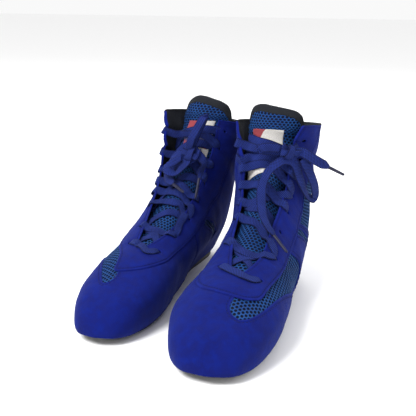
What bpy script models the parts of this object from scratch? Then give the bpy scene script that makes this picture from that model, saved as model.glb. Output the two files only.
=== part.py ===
"""A laced pair of boxing boots, EU 42, standing side by side with their toes towards -Y.

Each boot is drawn in its own frame in millimetres: x towards the outer side of the foot,
y from the toes to the heel, z up from the floor.  The right boot is the left one mirrored.
The upper is one smooth surface with two coordinates.  u runs from the toe tip (0) over the
instep to the collar (1) and on to the top of the tongue.  v runs round a cross-section, from
the sole or back line (0) over the outer side to the front line (0.5) and back (1).
Every layer and panel of the upper is a patch of that surface between two depths.
"""
import math

import bmesh
import bpy
import numpy as np
from mathutils import Vector
from mathutils.geometry import delaunay_2d_cdt

MM = 0.001
FRONT = 0.5

# Cross-sections from the toe tip to the top of the tongue.
# u, front line: distance from the heel and height, sole or back line: the same,
# half-width outer and inner, height of the widest place (share), squareness below and above
STATIONS = (
    (0.00, 285, 16, 285, 14, 0.6, 0.6, 0.50, 2.0, 2.0),
    (0.05, 281, 26, 280, 10.5, 17, 20, 0.48, 2.2, 2.1),
    (0.12, 267, 36, 268, 7.5, 29, 34, 0.46, 2.6, 2.1),
    (0.20, 243, 47, 246, 5.5, 39, 43, 0.44, 2.9, 2.1),
    (0.28, 216, 56, 222, 5, 44, 48, 0.42, 3.0, 2.0),
    (0.36, 187, 62, 196, 5, 46, 48, 0.40, 3.0, 1.9),
    (0.44, 158, 70, 165, 5, 45, 43, 0.38, 3.2, 1.8),
    (0.52, 133, 82, 130, 5, 42, 37, 0.36, 3.2, 1.75),
    (0.60, 112, 97, 90, 5, 40, 34, 0.36, 3.0, 1.75),
    (0.68, 101, 111, 48, 5, 38, 33, 0.38, 2.8, 1.8),
    (0.73, 97, 119, 14, 6.5, 38, 34, 0.42, 2.5, 1.85),
    (0.77, 94, 126, 5, 19, 38, 35, 0.45, 2.3, 1.9),
    (0.82, 92, 136, 2, 48, 38, 36, 0.48, 2.2, 2.0),
    (0.90, 91, 152, 6, 98, 38, 37, 0.50, 2.1, 2.0),
    (1.00, 91, 171, 4, 158, 40, 37, 0.50, 2.0, 2.0),
    (1.14, 89, 190, 2, 186, 40, 37, 0.50, 2.0, 2.0),
)
MIDDLE_OF_FOOT = 140.0
FEATHER_RISE = 2.5
SOLE_TOP = 5.0

# Depth of each layer under the outer surface.
SUEDE = (0.0, -1.2)
BACKING = (-2.7, -3.4)
TOE_PUFF = (-3.4, -4.1)
LINING = (-5.2, -6.0)
TONGUE = (-7.4, -11.0)
LABEL = (-5.9, -6.3)
SEAM = 0.5
CAD_STEP = 13.0

# Where each boot stands: x and y of the middle of the foot, turn about z, side of the outer
# edge, how far the soft shaft leans towards +X at LEAN_HEIGHT and the power it grows with, and
# the share by which the soft forefoot is pressed narrower on its outer and inner side.
BOOTS = {
    "right": {"place": (-47.05, 35.8), "turn": -18.4, "side": -1.0, "lean": (33.0, 1.6),
              "pinch": (0.10, 0.21), "tuck": 0.33},
    "left": {"place": (36.95, -26.2), "turn": -13.8, "side": 1.0, "lean": (13.5, 1.0),
             "pinch": (0.0, 0.0), "tuck": 0.0},
}
LEAN_HEIGHT = 170.0

# Plan of the sole: distance from the heel, reach to the outer side, reach to the inner side.
SOLE_PLAN = (
    (5, 0, 0),
    (7.5, 10, 10),
    (14, 20, 19),
    (25, 28, 26),
    (50, 33, 29),
    (90, 34, 29),
    (130, 36, 31),
    (165, 39, 38),
    (200, 40, 43),
    (232, 35, 41),
    (255, 28, 34),
    (270, 20, 25),
    (280, 10, 13),
    (283.5, 0, 0),
)
OUTSOLE = 4.6
TOE_SPRING = 7.0
SPRING_START = 222.0


def smooth(knots, values, at):
    """The values between the knots on a smooth curve through them."""
    knots = np.asarray(knots, float)
    values = np.asarray(values, float)
    step = np.diff(knots)
    rise = np.diff(values, axis=0) / (step if values.ndim == 1 else step[:, None])
    slope = np.empty_like(values)
    weight = step[1:] / (step[:-1] + step[1:])
    if values.ndim > 1:
        weight = weight[:, None]
    slope[1:-1] = rise[:-1] * weight + rise[1:] * (1.0 - weight)
    slope[0] = 1.5 * rise[0] - 0.5 * slope[1]
    slope[-1] = 1.5 * rise[-1] - 0.5 * slope[-2]
    index = np.clip(np.searchsorted(knots, at, side="right") - 1, 0, len(step) - 1)
    t = (at - knots[index]) / step[index]
    span = step[index]
    if values.ndim > 1:
        t = t[:, None]
        span = span[:, None]
    start = (2 * t**3 - 3 * t**2 + 1) * values[index] + (t**3 - 2 * t**2 + t) * span * slope[index]
    end = (3 * t**2 - 2 * t**3) * values[index + 1] + (t**3 - t**2) * span * slope[index + 1]
    return start + end


class Upper:
    """The outer surface of the upper as a table of points and normals over u and v."""

    U_STEPS = 224
    V_STEPS = 128
    ARC_STEPS = 60

    def __init__(self):
        table = np.array(STATIONS, float)
        self.u = np.linspace(0.0, table[-1, 0], self.U_STEPS + 1)
        rows = smooth(table[:, 0], table[:, 1:], self.u)
        self.points = np.array([self.section(row) for row in rows])
        along = np.gradient(self.points, self.u, axis=0)
        wrapped = np.concatenate([self.points[:, -2:-1], self.points, self.points[:, 1:2]], axis=1)
        across = (wrapped[:, 2:] - wrapped[:, :-2]) * (self.V_STEPS / 2.0)
        normal = np.cross(along, across)
        self.normals = normal / np.linalg.norm(normal, axis=2, keepdims=True)
        quarter = self.V_STEPS // 4
        steps = np.linalg.norm(np.diff(self.points[:, quarter], axis=0), axis=1)
        self.length = np.concatenate([[0.0], np.cumsum(steps)])
        self.girth = np.linalg.norm(np.diff(self.points, axis=1), axis=2).sum(axis=1)

    def section(self, row):
        """One cross-section as points spread evenly along the outer and the inner half."""
        front_s, front_z, back_s, back_z, outer, inner, widest, below, above = row
        angle = np.linspace(0.0, math.pi / 2, self.ARC_STEPS)
        height = math.hypot(front_s - back_s, front_z - back_z)
        share = np.linspace(0.0, 1.0, self.V_STEPS // 2 + 1)
        halves = []
        for width in (outer, -inner):
            low_x = width * np.sin(angle) ** (2 / below)
            low_t = widest - widest * np.cos(angle) ** (2 / below)
            high_x = width * np.cos(angle) ** (2 / above)
            high_t = widest + (1 - widest) * np.sin(angle) ** (2 / above)
            x = np.concatenate([low_x, high_x[1:]])
            t = np.concatenate([low_t, high_t[1:]])
            run = np.concatenate([[0.0], np.cumsum(np.hypot(np.diff(x), np.diff(t) * height))])
            x = np.interp(share, run / run[-1], x)
            t = np.interp(share, run / run[-1], t)
            y = MIDDLE_OF_FOOT - (back_s + (front_s - back_s) * t)
            z = back_z + (front_z - back_z) * t
            halves.append(np.stack([x, y, z], axis=-1))
        return np.concatenate([halves[0], halves[1][::-1][1:]])

    def at(self, uv, depth=0.0):
        """Points of the surface, moved along its normals by depth."""
        uv = np.atleast_2d(np.asarray(uv, float))
        row = np.clip(uv[:, 0] / self.u[-1], 0.0, 1.0) * self.U_STEPS
        column = np.mod(uv[:, 1], 1.0) * self.V_STEPS
        i = np.minimum(row.astype(int), self.U_STEPS - 1)
        j = np.minimum(column.astype(int), self.V_STEPS - 1)
        a = (row - i)[:, None]
        b = (column - j)[:, None]
        places = []
        for grid in (self.points, self.normals):
            low = grid[i, j] * (1 - b) + grid[i, j + 1] * b
            high = grid[i + 1, j] * (1 - b) + grid[i + 1, j + 1] * b
            places.append(low * (1 - a) + high * a)
        normal = places[1] / np.linalg.norm(places[1], axis=1, keepdims=True)
        return places[0] + normal * np.reshape(depth, (-1, 1))

    def flat(self, uv):
        """The place of (u, v) on the upper laid flat, in millimetres."""
        uv = np.atleast_2d(np.asarray(uv, float))
        x = (uv[:, 1] - FRONT) * np.interp(uv[:, 0], self.u, self.girth)
        return np.stack([x, np.interp(uv[:, 0], self.u, self.length)], axis=-1)

    def folded(self, flat):
        """The (u, v) of places on the upper laid flat."""
        u = np.interp(flat[:, 1], self.length, self.u)
        return np.stack([u, FRONT + flat[:, 0] / np.interp(u, self.u, self.girth)], axis=-1)

    def feather(self, u, rise=FEATHER_RISE):
        """The v on the outer side where the upper meets the sole's edge."""
        row = int(round(u / self.u[-1] * self.U_STEPS))
        half = self.points[row, : self.V_STEPS // 2 + 1, 2]
        floor = half[0] if u < 0.5 else SOLE_TOP
        above = np.nonzero(half >= floor + rise)[0]
        return above[0] / self.V_STEPS if len(above) else FRONT


UPPER = Upper()


def curve(*points, steps=12):
    """Points on a smooth line through (u, v) points."""
    points = np.array(points, float)
    knots = np.arange(len(points), dtype=float)
    at = np.linspace(0.0, knots[-1], steps * (len(points) - 1) + 1)
    if len(points) == 2:
        return points[0] + (points[1] - points[0]) * at[:, None]
    return smooth(knots, points, at)


def inner_side(line):
    """The same line on the other side of the front line."""
    return np.stack([line[:, 0], 1.0 - line[:, 1]], axis=-1)


def spaced(line, step):
    """A polyline's points laid out afresh about a step apart, its last point left out."""
    run = np.concatenate([[0.0], np.cumsum(np.linalg.norm(np.diff(line, axis=0), axis=1))])
    count = max(1, round(run[-1] / step))
    at = np.linspace(0.0, run[-1], count + 1)[:-1]
    return np.stack([np.interp(at, run, line[:, 0]), np.interp(at, run, line[:, 1])], axis=-1)


def shrunk(ring, gap):
    """A closed outline drawn in by a gap, corner by corner."""
    before = ring - np.roll(ring, 1, axis=0)
    after = np.roll(ring, -1, axis=0) - ring
    turn = (ring[:, 0] * after[:, 1] - ring[:, 1] * after[:, 0]).sum()
    sides = []
    for side in (before, after):
        length = np.linalg.norm(side, axis=1, keepdims=True)
        sides.append(np.stack([-side[:, 1], side[:, 0]], axis=-1) / np.maximum(length, 1e-9))
    middle = sides[0] + sides[1]
    share = np.maximum((middle**2).sum(axis=1, keepdims=True) / 2.0, 0.25)
    return ring + math.copysign(gap, turn) * middle / share


def inside(ring, points):
    """Which points lie inside a closed outline."""
    x, y = points[:, 0], points[:, 1]
    found = np.zeros(len(points), bool)
    for (ax, ay), (bx, by) in zip(ring, np.roll(ring, -1, axis=0)):
        if ay == by:
            continue
        crossing = (ay > y) != (by > y)
        found ^= crossing & (x < (bx - ax) * (y - ay) / (by - ay) + ax)
    return found


def filled(ring, step, holes=()):
    """A closed outline filled with triangles whose corners are about a step apart."""
    low, high = ring.min(axis=0), ring.max(axis=0)
    columns = np.arange(math.floor(low[0] / step), math.ceil(high[0] / step) + 1)
    rows = np.arange(math.floor(low[1] / step), math.ceil(high[1] / step) + 1)
    grid = np.array([((i + 0.5 * (j % 2)) * step, j * step) for j in rows for i in columns], float)
    grid = grid[inside(ring, grid)]
    edges = []
    points = np.empty((0, 2))
    for line in (ring, *holes):
        first = len(points)
        edges += [(first + i, first + (i + 1) % len(line)) for i in range(len(line))]
        points = np.concatenate([points, line])
    away = np.linalg.norm(grid[:, None] - points[None], axis=2).min(axis=1)
    points = np.concatenate([points, grid[away > 0.55 * step]])
    made = delaunay_2d_cdt([Vector(p) for p in points], edges, [], 0, 1e-5)
    corners = np.array([tuple(p) for p in made[0]])
    faces = np.array([tuple(face) for face in made[2]])
    middles = corners[faces].mean(axis=1)
    kept = inside(ring, middles)
    for hole in holes:
        kept &= ~inside(hole, middles)
    return corners, [tuple(int(i) for i in face) for face in faces[kept]]


def rims(faces):
    """The edges that only one face uses, in the direction that the face runs."""
    runs = [(face[k], face[(k + 1) % len(face)]) for face in faces for k in range(len(face))]
    known = set(runs)
    return [run for run in runs if (run[1], run[0]) not in known]


def thickened(top, bottom, faces):
    """A closed body between two sheets of the same faces."""
    count = len(top)
    body = list(faces) + [tuple(i + count for i in reversed(face)) for face in faces]
    body += [(b, a, a + count, b + count) for a, b in rims(faces)]
    return np.concatenate([top, bottom]), body


class Boot:
    """One boot of the pair, standing in its place under an empty of its own."""

    def __init__(self, name):
        self.name = name
        self.side = BOOTS[name]["side"]
        self.lean = BOOTS[name]["lean"]
        self.pinch = BOOTS[name]["pinch"]
        self.tuck = BOOTS[name]["tuck"]
        self.parent = bpy.data.objects.new(f"{name}_boot", None)
        bpy.context.scene.collection.objects.link(self.parent)
        x, y = BOOTS[name]["place"]
        self.parent.location = (x * MM, y * MM, 0.0)
        self.parent.rotation_euler = (0.0, 0.0, math.radians(BOOTS[name]["turn"]))

    def placed(self, points):
        """Points of the boot's frame on this boot: mirrored for its side, the soft shaft leaning."""
        places = np.array(points, float)
        along = MIDDLE_OF_FOOT - places[:, 1]
        ball = np.clip((along - 120.0) / 60.0, 0.0, 1.0)
        ball = ball * ball * (3 - 2 * ball)
        high = np.clip((places[:, 2] - 8.0) / 40.0, 0.0, 1.0)
        arch = np.exp(-(((along - 90.0) / 60.0) ** 2)) * (1.0 - high * high * (3 - 2 * high))
        outer, inner = ball * self.pinch[0], ball * self.pinch[1] + arch * self.tuck
        places[:, 0] *= self.side * (1.0 - np.where(places[:, 0] > 0, outer, inner))
        height = np.maximum(places[:, 2], 0.0) / LEAN_HEIGHT
        places[:, 0] += self.lean[0] * height ** self.lean[1]
        return places * MM

    def solid(self, name, points, faces, material, origin=(0.0, 0.0, 0.0)):
        """A named sub-part from points in the boot's own frame."""
        mesh = bpy.data.meshes.new(f"{self.name}_{name}")
        pivot = self.placed([origin])[0]
        turned = bmesh.new()
        corners = [turned.verts.new(p) for p in self.placed(points) - pivot]
        for face in faces:
            turned.faces.new([corners[i] for i in face])
        bmesh.ops.recalc_face_normals(turned, faces=turned.faces)
        turned.to_mesh(mesh)
        turned.free()
        mesh.shade_smooth()
        mesh.set_sharp_from_angle(angle=math.radians(40))
        mesh.materials.append(MATERIALS[material])
        item = bpy.data.objects.new(f"{self.name}_{name}", mesh)
        bpy.context.scene.collection.objects.link(item)
        item.parent = self.parent
        item.location = pivot
        return item

    def panel(self, name, edges, depths, material, step=CAD_STEP, gap=SEAM, holes=(), **options):
        """A sub-part that is a patch of the upper between two depths."""
        ring = np.concatenate([spaced(UPPER.flat(line), 0.8 * step) for line in edges])
        windows = [spaced(UPPER.flat(curve(*hole, hole[0])), 0.8 * step) for hole in holes]
        flat, faces = filled(shrunk(ring, gap), step, windows)
        uv = UPPER.folded(flat)
        top, bottom = (UPPER.at(uv, depth(uv) if callable(depth) else depth) for depth in depths)
        points, body = thickened(top, bottom, faces)
        return self.solid(name, points, body, material, **options)

    def slab(self, name, outline, bottom, top, material, step=CAD_STEP):
        """A plate with a plan outline whose faces follow heights along the foot."""
        ring = spaced(np.concatenate([outline, outline[:1]]), 0.7 * step)
        plan, faces = filled(ring, step)
        faces = [tuple(face) for face in faces]
        low = np.column_stack([plan, bottom(plan[:, 1])])
        high = np.column_stack([plan, top(plan[:, 1])])
        points, body = thickened(high, low, faces)
        return self.solid(name, points, body, material)

    def ribbon(self, name, route, width, depths, material):
        """A flat band along a route over the upper laid flat."""
        route = np.array(route, float)
        ahead = np.diff(route, axis=0)
        ahead /= np.linalg.norm(ahead, axis=1, keepdims=True)
        left = np.stack([-ahead[:, 1], ahead[:, 0]], axis=-1)
        first = np.concatenate([left[:1], left])
        second = np.concatenate([left, left[-1:]])
        middle = first + second
        middle /= np.maximum((middle**2).sum(axis=1, keepdims=True) / 2.0, 0.5)
        sides = [route + middle * width / 2, (route - middle * width / 2)[::-1]]
        ring = np.concatenate(sides + [sides[0][:1]])
        ring = np.concatenate([spaced(ring[i : i + 2], 0.7 * CAD_STEP) for i in range(len(ring) - 1)])
        flat, faces = filled(ring, CAD_STEP)
        uv = UPPER.folded(flat)
        top, bottom = (UPPER.at(uv, depth(uv)) for depth in depths)
        points, body = thickened(top, bottom, faces)
        return self.solid(name, points, body, material)

    def over_upper(self, route):
        """Points of a smooth curve through places over the upper, spaced LACE_POINT apart."""
        route = np.array(route, float)
        places = self.placed(UPPER.at(route[:, :2], route[:, 2])) / MM
        knots = np.arange(len(places), dtype=float)
        fine = smooth(knots, places, np.linspace(0.0, knots[-1], 20 * len(route)))
        run = np.concatenate([[0.0], np.cumsum(np.linalg.norm(np.diff(fine, axis=0), axis=1))])
        at = np.linspace(0.0, run[-1], round(run[-1] / LACE_POINT) + 1)
        return np.stack([np.interp(at, run, fine[:, k]) for k in range(3)], axis=-1)

    def tube(self, name, places, radius, material):
        """A round cord through points that already stand in the boot's place."""
        cord = bpy.data.curves.new(f"{self.name}_{name}", "CURVE")
        cord.dimensions = "3D"
        cord.bevel_depth = radius * MM
        cord.bevel_resolution = 2
        cord.use_fill_caps = True
        line = cord.splines.new("POLY")
        line.points.add(len(places) - 1)
        for point, place in zip(line.points, places):
            point.co = (*(place * MM), 1.0)
        cord.materials.append(MATERIALS[material])
        item = bpy.data.objects.new(f"{self.name}_{name}", cord)
        bpy.context.scene.collection.objects.link(item)
        item.parent = self.parent
        return item


def clear_scene():
    for item in list(bpy.data.objects):
        bpy.data.objects.remove(item, do_unlink=True)


def shader(name, colour, roughness):
    """A plain material of one colour."""
    made = bpy.data.materials.new(name)
    made.use_nodes = True
    surface = made.node_tree.nodes["Principled BSDF"]
    surface.inputs["Base Color"].default_value = (*colour, 1.0)
    surface.inputs["Roughness"].default_value = roughness
    surface.inputs["Metallic"].default_value = 0.0
    made.diffuse_color = (*colour, 1.0)
    return made


clear_scene()
MATERIALS = {
    "suede": shader("suede", (0.010, 0.016, 0.250), 0.95),
    "mesh": shader("mesh", (0.008, 0.085, 0.300), 0.70),
    "lining": shader("lining", (0.020, 0.022, 0.028), 0.90),
    "rubber": shader("rubber", (0.012, 0.012, 0.013), 0.60),
    "board": shader("board", (0.550, 0.480, 0.380), 0.90),
    "foam": shader("foam", (0.030, 0.040, 0.080), 0.85),
    "label": shader("label", (0.750, 0.750, 0.760), 0.70),
    "lace": shader("lace", (0.020, 0.035, 0.330), 0.80),
    "aglet": shader("aglet", (0.030, 0.035, 0.060), 0.35),
}

# Edges of the panels as (u, v) on the outer side; the inner side has its own where it differs.
THROAT = ((0.345, 0.5), (0.352, 0.478), (0.42, 0.449), (0.50, 0.432), (0.60, 0.415),
          (0.70, 0.410), (0.83, 0.400), (0.93, 0.380), (0.998, 0.355))
STAY_OUTER = ((0.998, 0.290), (0.90, 0.315), (0.80, 0.345), (0.70, 0.340), (0.60, 0.335),
              (0.53, 0.335), (0.41, 0.348), (0.32, 0.364), (0.262, 0.378), (0.238, 0.405),
              (0.228, 0.445), (0.232, 0.5))
STAY_INNER = ((0.232, 0.5), (0.245, 0.55), (0.275, 0.602), (0.33, 0.640), (0.40, 0.655),
              (0.49, 0.665), (0.60, 0.665), (0.70, 0.660), (0.80, 0.655), (0.90, 0.685),
              (0.998, 0.710))
MESH_FRONT = ((0.228, 0.480), (0.205, 0.485), (0.186, 0.462), (0.178, 0.420))
MESH_LOWER = ((0.178, 0.420), (0.195, 0.380), (0.245, 0.348), (0.36, 0.305), (0.46, 0.240),
              (0.55, 0.190))
MESH_REAR = ((0.55, 0.190), (0.565, 0.250), (0.53, 0.335))
VAMP_REAR_U = 0.565
MEDIAL_REAR_U = 0.52
SLIT = ((0.615, 0.318), (0.655, 0.255), (0.680, 0.200), (0.700, 0.205), (0.677, 0.262), (0.637, 0.322))
ANKLE_WINDOW = ((0.668, 0.312), (0.705, 0.245), (0.745, 0.165), (0.80, 0.125), (0.87, 0.150),
                (0.865, 0.250), (0.80, 0.325), (0.73, 0.325))
MEDIAL_SLIT = ((0.585, 0.690), (0.625, 0.745), (0.655, 0.800), (0.675, 0.795), (0.648, 0.738),
               (0.607, 0.683))
BACKSTAY_HALF = 0.032
HEEL_U = 0.737
LACE_ROWS = (0.38, 0.48, 0.56, 0.63, 0.705, 0.785, 0.86, 0.945)
EYELET_INSET = 7.0
FLARE = 5.0
LINING_RISE = 4.5
LINING_SEAM = 0.004
BINDING_TOP_U = 1.012
TONGUE_FOLD_U = 0.985
TONGUE_HINGE = (0.0, 57.0, 169.5)
LACE_ROW_WIDTH = 6.0
LACE_DEPTHS = (2.3, 0.9)
LACE_RADIUS = 1.4
LACE_POINT = 6.0
AGLET_RADIUS = 1.5
AGLET_LENGTH = 21.0
KNOT_RINGS = 6
KNOT_SIDES = 12
LACE_GAP = 0.4

# The bow of each boot: places over the upper as (u, v, height above it).
KNOT_HALF = (6.5, 6.0, 4.2)
KNOTS = {"right": (0.782, 0.499, 9.0), "left": (0.881, 0.444, 9.5)}
BOWS = {
    "right": {
        "bow_loop_1": ((0.816, 0.495, 12), (0.860, 0.494, 15), (0.912, 0.499, 17),
                       (0.962, 0.505, 17), (0.990, 0.508, 14), (0.965, 0.507, 11),
                       (0.912, 0.501, 9.5), (0.858, 0.498, 8.5), (0.816, 0.498, 7.5)),
        "bow_loop_2": ((0.750, 0.486, 12), (0.725, 0.476, 15), (0.694, 0.467, 17),
                       (0.662, 0.471, 15), (0.656, 0.484, 11), (0.684, 0.491, 9),
                       (0.740, 0.497, 8)),
        "lace_end_1": ((0.770, 0.527, 9), (0.742, 0.532, 11), (0.712, 0.532, 11),
                       (0.686, 0.535, 11), (0.660, 0.540, 11)),
        "lace_end_2": ((0.790, 0.469, 8), (0.760, 0.450, 8), (0.700, 0.448, 8), (0.640, 0.462, 8),
                       (0.600, 0.486, 8)),
    },
    "left": {
        "bow_loop_1": ((0.890, 0.473, 12), (0.894, 0.489, 14.5), (0.892, 0.506, 15),
                       (0.884, 0.519, 12.5), (0.877, 0.513, 9.5), (0.874, 0.497, 8.5),
                       (0.873, 0.484, 7.5), (0.874, 0.473, 7)),
        "bow_loop_2": ((0.870, 0.409, 12), (0.846, 0.394, 14), (0.820, 0.372, 15),
                       (0.806, 0.346, 14), (0.790, 0.324, 12), (0.775, 0.346, 9.5),
                       (0.778, 0.381, 9.5), (0.805, 0.410, 9), (0.842, 0.428, 8.5)),
        "lace_end_1": ((0.896, 0.415, 12), (0.893, 0.402, 16), (0.886, 0.387, 20),
                       (0.880, 0.368, 24), (0.877, 0.350, 27)),
        "lace_end_2": ((0.843, 0.457, 9), (0.812, 0.480, 11), (0.751, 0.496, 12),
                       (0.667, 0.500, 12), (0.595, 0.496, 12), (0.541, 0.484, 12),
                       (0.507, 0.463, 12), (0.482, 0.434, 12)),
    },
}


def flare(uv):
    """How far the collar's front flaps stand out from the tongue."""
    up = np.clip((uv[:, 0] - 0.80) / 0.20, 0.0, 1.0)
    aside = np.clip((0.30 - np.abs(np.mod(uv[:, 1], 1.0) - FRONT)) / 0.18, 0.0, 1.0)
    return FLARE * up**2 * aside**2 * (3 - 2 * aside)


def shell(layer):
    """The two depths of a layer that flares with the collar."""
    return [lambda uv, depth=depth: depth + flare(uv) for depth in layer]


def feather_line(start, end, rise=FEATHER_RISE, steps=24):
    """The edge of the upper along the sole, on the outer side."""
    return np.array([(u, UPPER.feather(u, rise)) for u in np.linspace(start, end, steps)])


def part_of(line, low, high):
    """The stretch of a line whose u lies between two values."""
    return line[(line[:, 0] >= low - 1e-6) & (line[:, 0] <= high + 1e-6)]


def straight(start, end):
    return curve(start, end)


def spring(y):
    """How far the sole's underside rises off the floor towards the toe."""
    along = np.clip((MIDDLE_OF_FOOT - y - SPRING_START) / (285.0 - SPRING_START), 0.0, 1.0)
    return TOE_SPRING * along**2


def sole_outline(inset, heel=0.0):
    """The plan of a plate of the sole, drawn in from the outsole's edge and more so at the heel."""
    table = np.array(SOLE_PLAN, float)
    knots = np.arange(len(table), dtype=float)
    fine = smooth(knots, table, np.linspace(0.0, knots[-1], 10 * len(table)))
    along = fine[:, 0] + heel * (1.0 - fine[:, 0] / 285.0) ** 3
    y = MIDDLE_OF_FOOT - along
    outer = np.column_stack([fine[:, 1], y])
    inner = np.column_stack([-fine[:, 2], y])[::-1]
    ring = np.concatenate([outer, inner[1:-1]])
    return shrunk(ring, inset) if inset else ring


def build_sole(boot):
    outline = sole_outline(0.0)
    boot.slab("outsole", outline, spring, lambda y: spring(y) + OUTSOLE, "rubber", step=16.0)
    board = sole_outline(6.5, heel=9.0)
    boot.slab("lasting_board", board, lambda y: spring(y) + 5.6, lambda y: spring(y) + 7.0, "board",
              step=20.0)
    liner = sole_outline(12.5, heel=12.0)
    boot.slab("sockliner", liner, lambda y: spring(y) + 7.4, lambda y: spring(y) + 11.0, "foam", step=20.0)


def build_upper(boot):
    throat = curve(*THROAT)
    stay_outer = curve(*STAY_OUTER)
    stay_inner = curve(*STAY_INNER)
    mesh_rear = curve(*MESH_REAR)
    vamp_rear = straight(MESH_LOWER[-1], (VAMP_REAR_U, UPPER.feather(VAMP_REAR_U)))
    medial_low = (MEDIAL_REAR_U, 1.0 - UPPER.feather(MEDIAL_REAR_U))
    medial_high = part_of(stay_inner, MEDIAL_REAR_U, 1.0)[0]
    heel_side = feather_line(VAMP_REAR_U, HEEL_U - 0.004)
    heel_side = heel_side[heel_side[:, 1] > BACKSTAY_HALF]
    medial_heel = inner_side(feather_line(MEDIAL_REAR_U, HEEL_U - 0.004))
    medial_heel = medial_heel[medial_heel[:, 1] < 1.0 - BACKSTAY_HALF]
    boot.panel("vamp", [
        feather_line(VAMP_REAR_U, 0.0),
        inner_side(feather_line(0.0, MEDIAL_REAR_U)),
        straight(medial_low, medial_high),
        part_of(stay_inner, 0.0, MEDIAL_REAR_U)[::-1],
        straight(STAY_OUTER[-1], MESH_FRONT[0]),
        curve(*MESH_FRONT),
        curve(*MESH_LOWER),
        vamp_rear,
    ], shell(SUEDE), "suede")
    boot.panel("lace_stay", [
        stay_outer,
        stay_inner,
        straight(STAY_INNER[-1], (THROAT[-1][0], 1.0 - THROAT[-1][1])),
        inner_side(throat)[::-1],
        throat,
        straight(THROAT[-1], STAY_OUTER[0]),
    ], shell(SUEDE), "suede")
    boot.panel("lateral_quarter", [
        part_of(stay_outer, 0.53, 1.0),
        mesh_rear[::-1],
        vamp_rear,
        heel_side,
        straight(heel_side[-1], (HEEL_U + 0.002, BACKSTAY_HALF)),
        straight((HEEL_U + 0.002, BACKSTAY_HALF), (0.998, BACKSTAY_HALF)),
        straight((0.998, BACKSTAY_HALF), STAY_OUTER[0]),
    ], shell(SUEDE), "suede", holes=[SLIT, ANKLE_WINDOW])
    boot.panel("medial_quarter", [
        part_of(stay_inner, MEDIAL_REAR_U, 1.0),
        straight(STAY_INNER[-1], (0.998, 1.0 - BACKSTAY_HALF)),
        straight((0.998, 1.0 - BACKSTAY_HALF), (HEEL_U + 0.002, 1.0 - BACKSTAY_HALF)),
        straight((HEEL_U + 0.002, 1.0 - BACKSTAY_HALF), medial_heel[-1]),
        medial_heel[::-1],
        straight(medial_low, medial_high),
    ], shell(SUEDE), "suede", holes=[MEDIAL_SLIT])
    boot.panel("backstay", [
        straight((HEEL_U + 0.004, -BACKSTAY_HALF), (HEEL_U + 0.004, BACKSTAY_HALF)),
        straight((HEEL_U + 0.004, BACKSTAY_HALF), (0.998, BACKSTAY_HALF)),
        straight((0.998, BACKSTAY_HALF), (0.998, -BACKSTAY_HALF)),
        straight((0.998, -BACKSTAY_HALF), (HEEL_U + 0.004, -BACKSTAY_HALF)),
    ], shell(SUEDE), "suede")


def build_inside(boot):
    """The layers under the suede: mesh backings, stiffeners and the lining."""
    boot.panel("lateral_mesh", [curve(
        (0.168, 0.410), (0.176, 0.475), (0.212, 0.493), (0.250, 0.455), (0.280, 0.412), (0.350, 0.392),
        (0.450, 0.375), (0.550, 0.365), (0.650, 0.360), (0.750, 0.365), (0.850, 0.320), (0.895, 0.240),
        (0.890, 0.130), (0.820, 0.100), (0.750, 0.132), (0.700, 0.165), (0.600, 0.160), (0.530, 0.165),
        (0.440, 0.215), (0.350, 0.275), (0.240, 0.325), (0.185, 0.365), (0.168, 0.410),
    )], shell(BACKING), "mesh")
    boot.panel("medial_mesh", [curve(
        (0.570, 0.690), (0.600, 0.668), (0.660, 0.725), (0.695, 0.795), (0.660, 0.820), (0.615, 0.765),
        (0.570, 0.690),
    )], shell(BACKING), "mesh")
    boot.panel("toe_puff", [curve(
        (0.060, 0.500), (0.063, 0.410), (0.075, 0.340), (0.105, 0.320), (0.138, 0.340), (0.152, 0.400),
        (0.155, 0.500), (0.152, 0.600), (0.138, 0.660), (0.105, 0.680), (0.075, 0.660), (0.063, 0.590),
        (0.060, 0.500),
    )], shell(TOE_PUFF), "board")
    boot.panel("heel_counter", [curve(
        (0.795, 0.000), (0.792, 0.040), (0.790, 0.070), (0.805, 0.076), (0.830, 0.066), (0.855, 0.040),
        (0.860, 0.000), (0.855, -0.040), (0.830, -0.066), (0.805, -0.076), (0.790, -0.070), (0.792, -0.040),
        (0.795, 0.000),
    )], shell(BACKING), "board")
    throat = curve(*THROAT)
    low = feather_line(0.085, HEEL_U + 0.02, rise=LINING_RISE, steps=36)
    seam = LINING_SEAM
    boot.panel("lining", [
        low,
        straight(low[-1], (HEEL_U + 0.025, seam)),
        straight((HEEL_U + 0.025, seam), (0.998, seam)),
        straight((0.998, seam), THROAT[-1]),
        throat[::-1],
        inner_side(throat),
        straight((0.998, 1.0 - THROAT[-1][1]), (0.998, 1.0 - seam)),
        straight((0.998, 1.0 - seam), (HEEL_U + 0.025, 1.0 - seam)),
        straight((HEEL_U + 0.025, 1.0 - seam), inner_side(low)[-1]),
        inner_side(low)[::-1],
        straight((0.085, 1.0 - low[0, 1]), tuple(low[0])),
    ], shell(LINING), "lining")


def build_collar(boot):
    reach = THROAT[-1][1]
    boot.panel("collar_binding", [
        straight((1.002, reach), (1.002, -reach)),
        straight((1.002, -reach), (BINDING_TOP_U, -reach)),
        straight((BINDING_TOP_U, -reach), (BINDING_TOP_U, reach)),
        straight((BINDING_TOP_U, reach), (1.002, reach)),
    ], shell((0.4, LINING[1])), "lining", gap=0.0)


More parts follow.
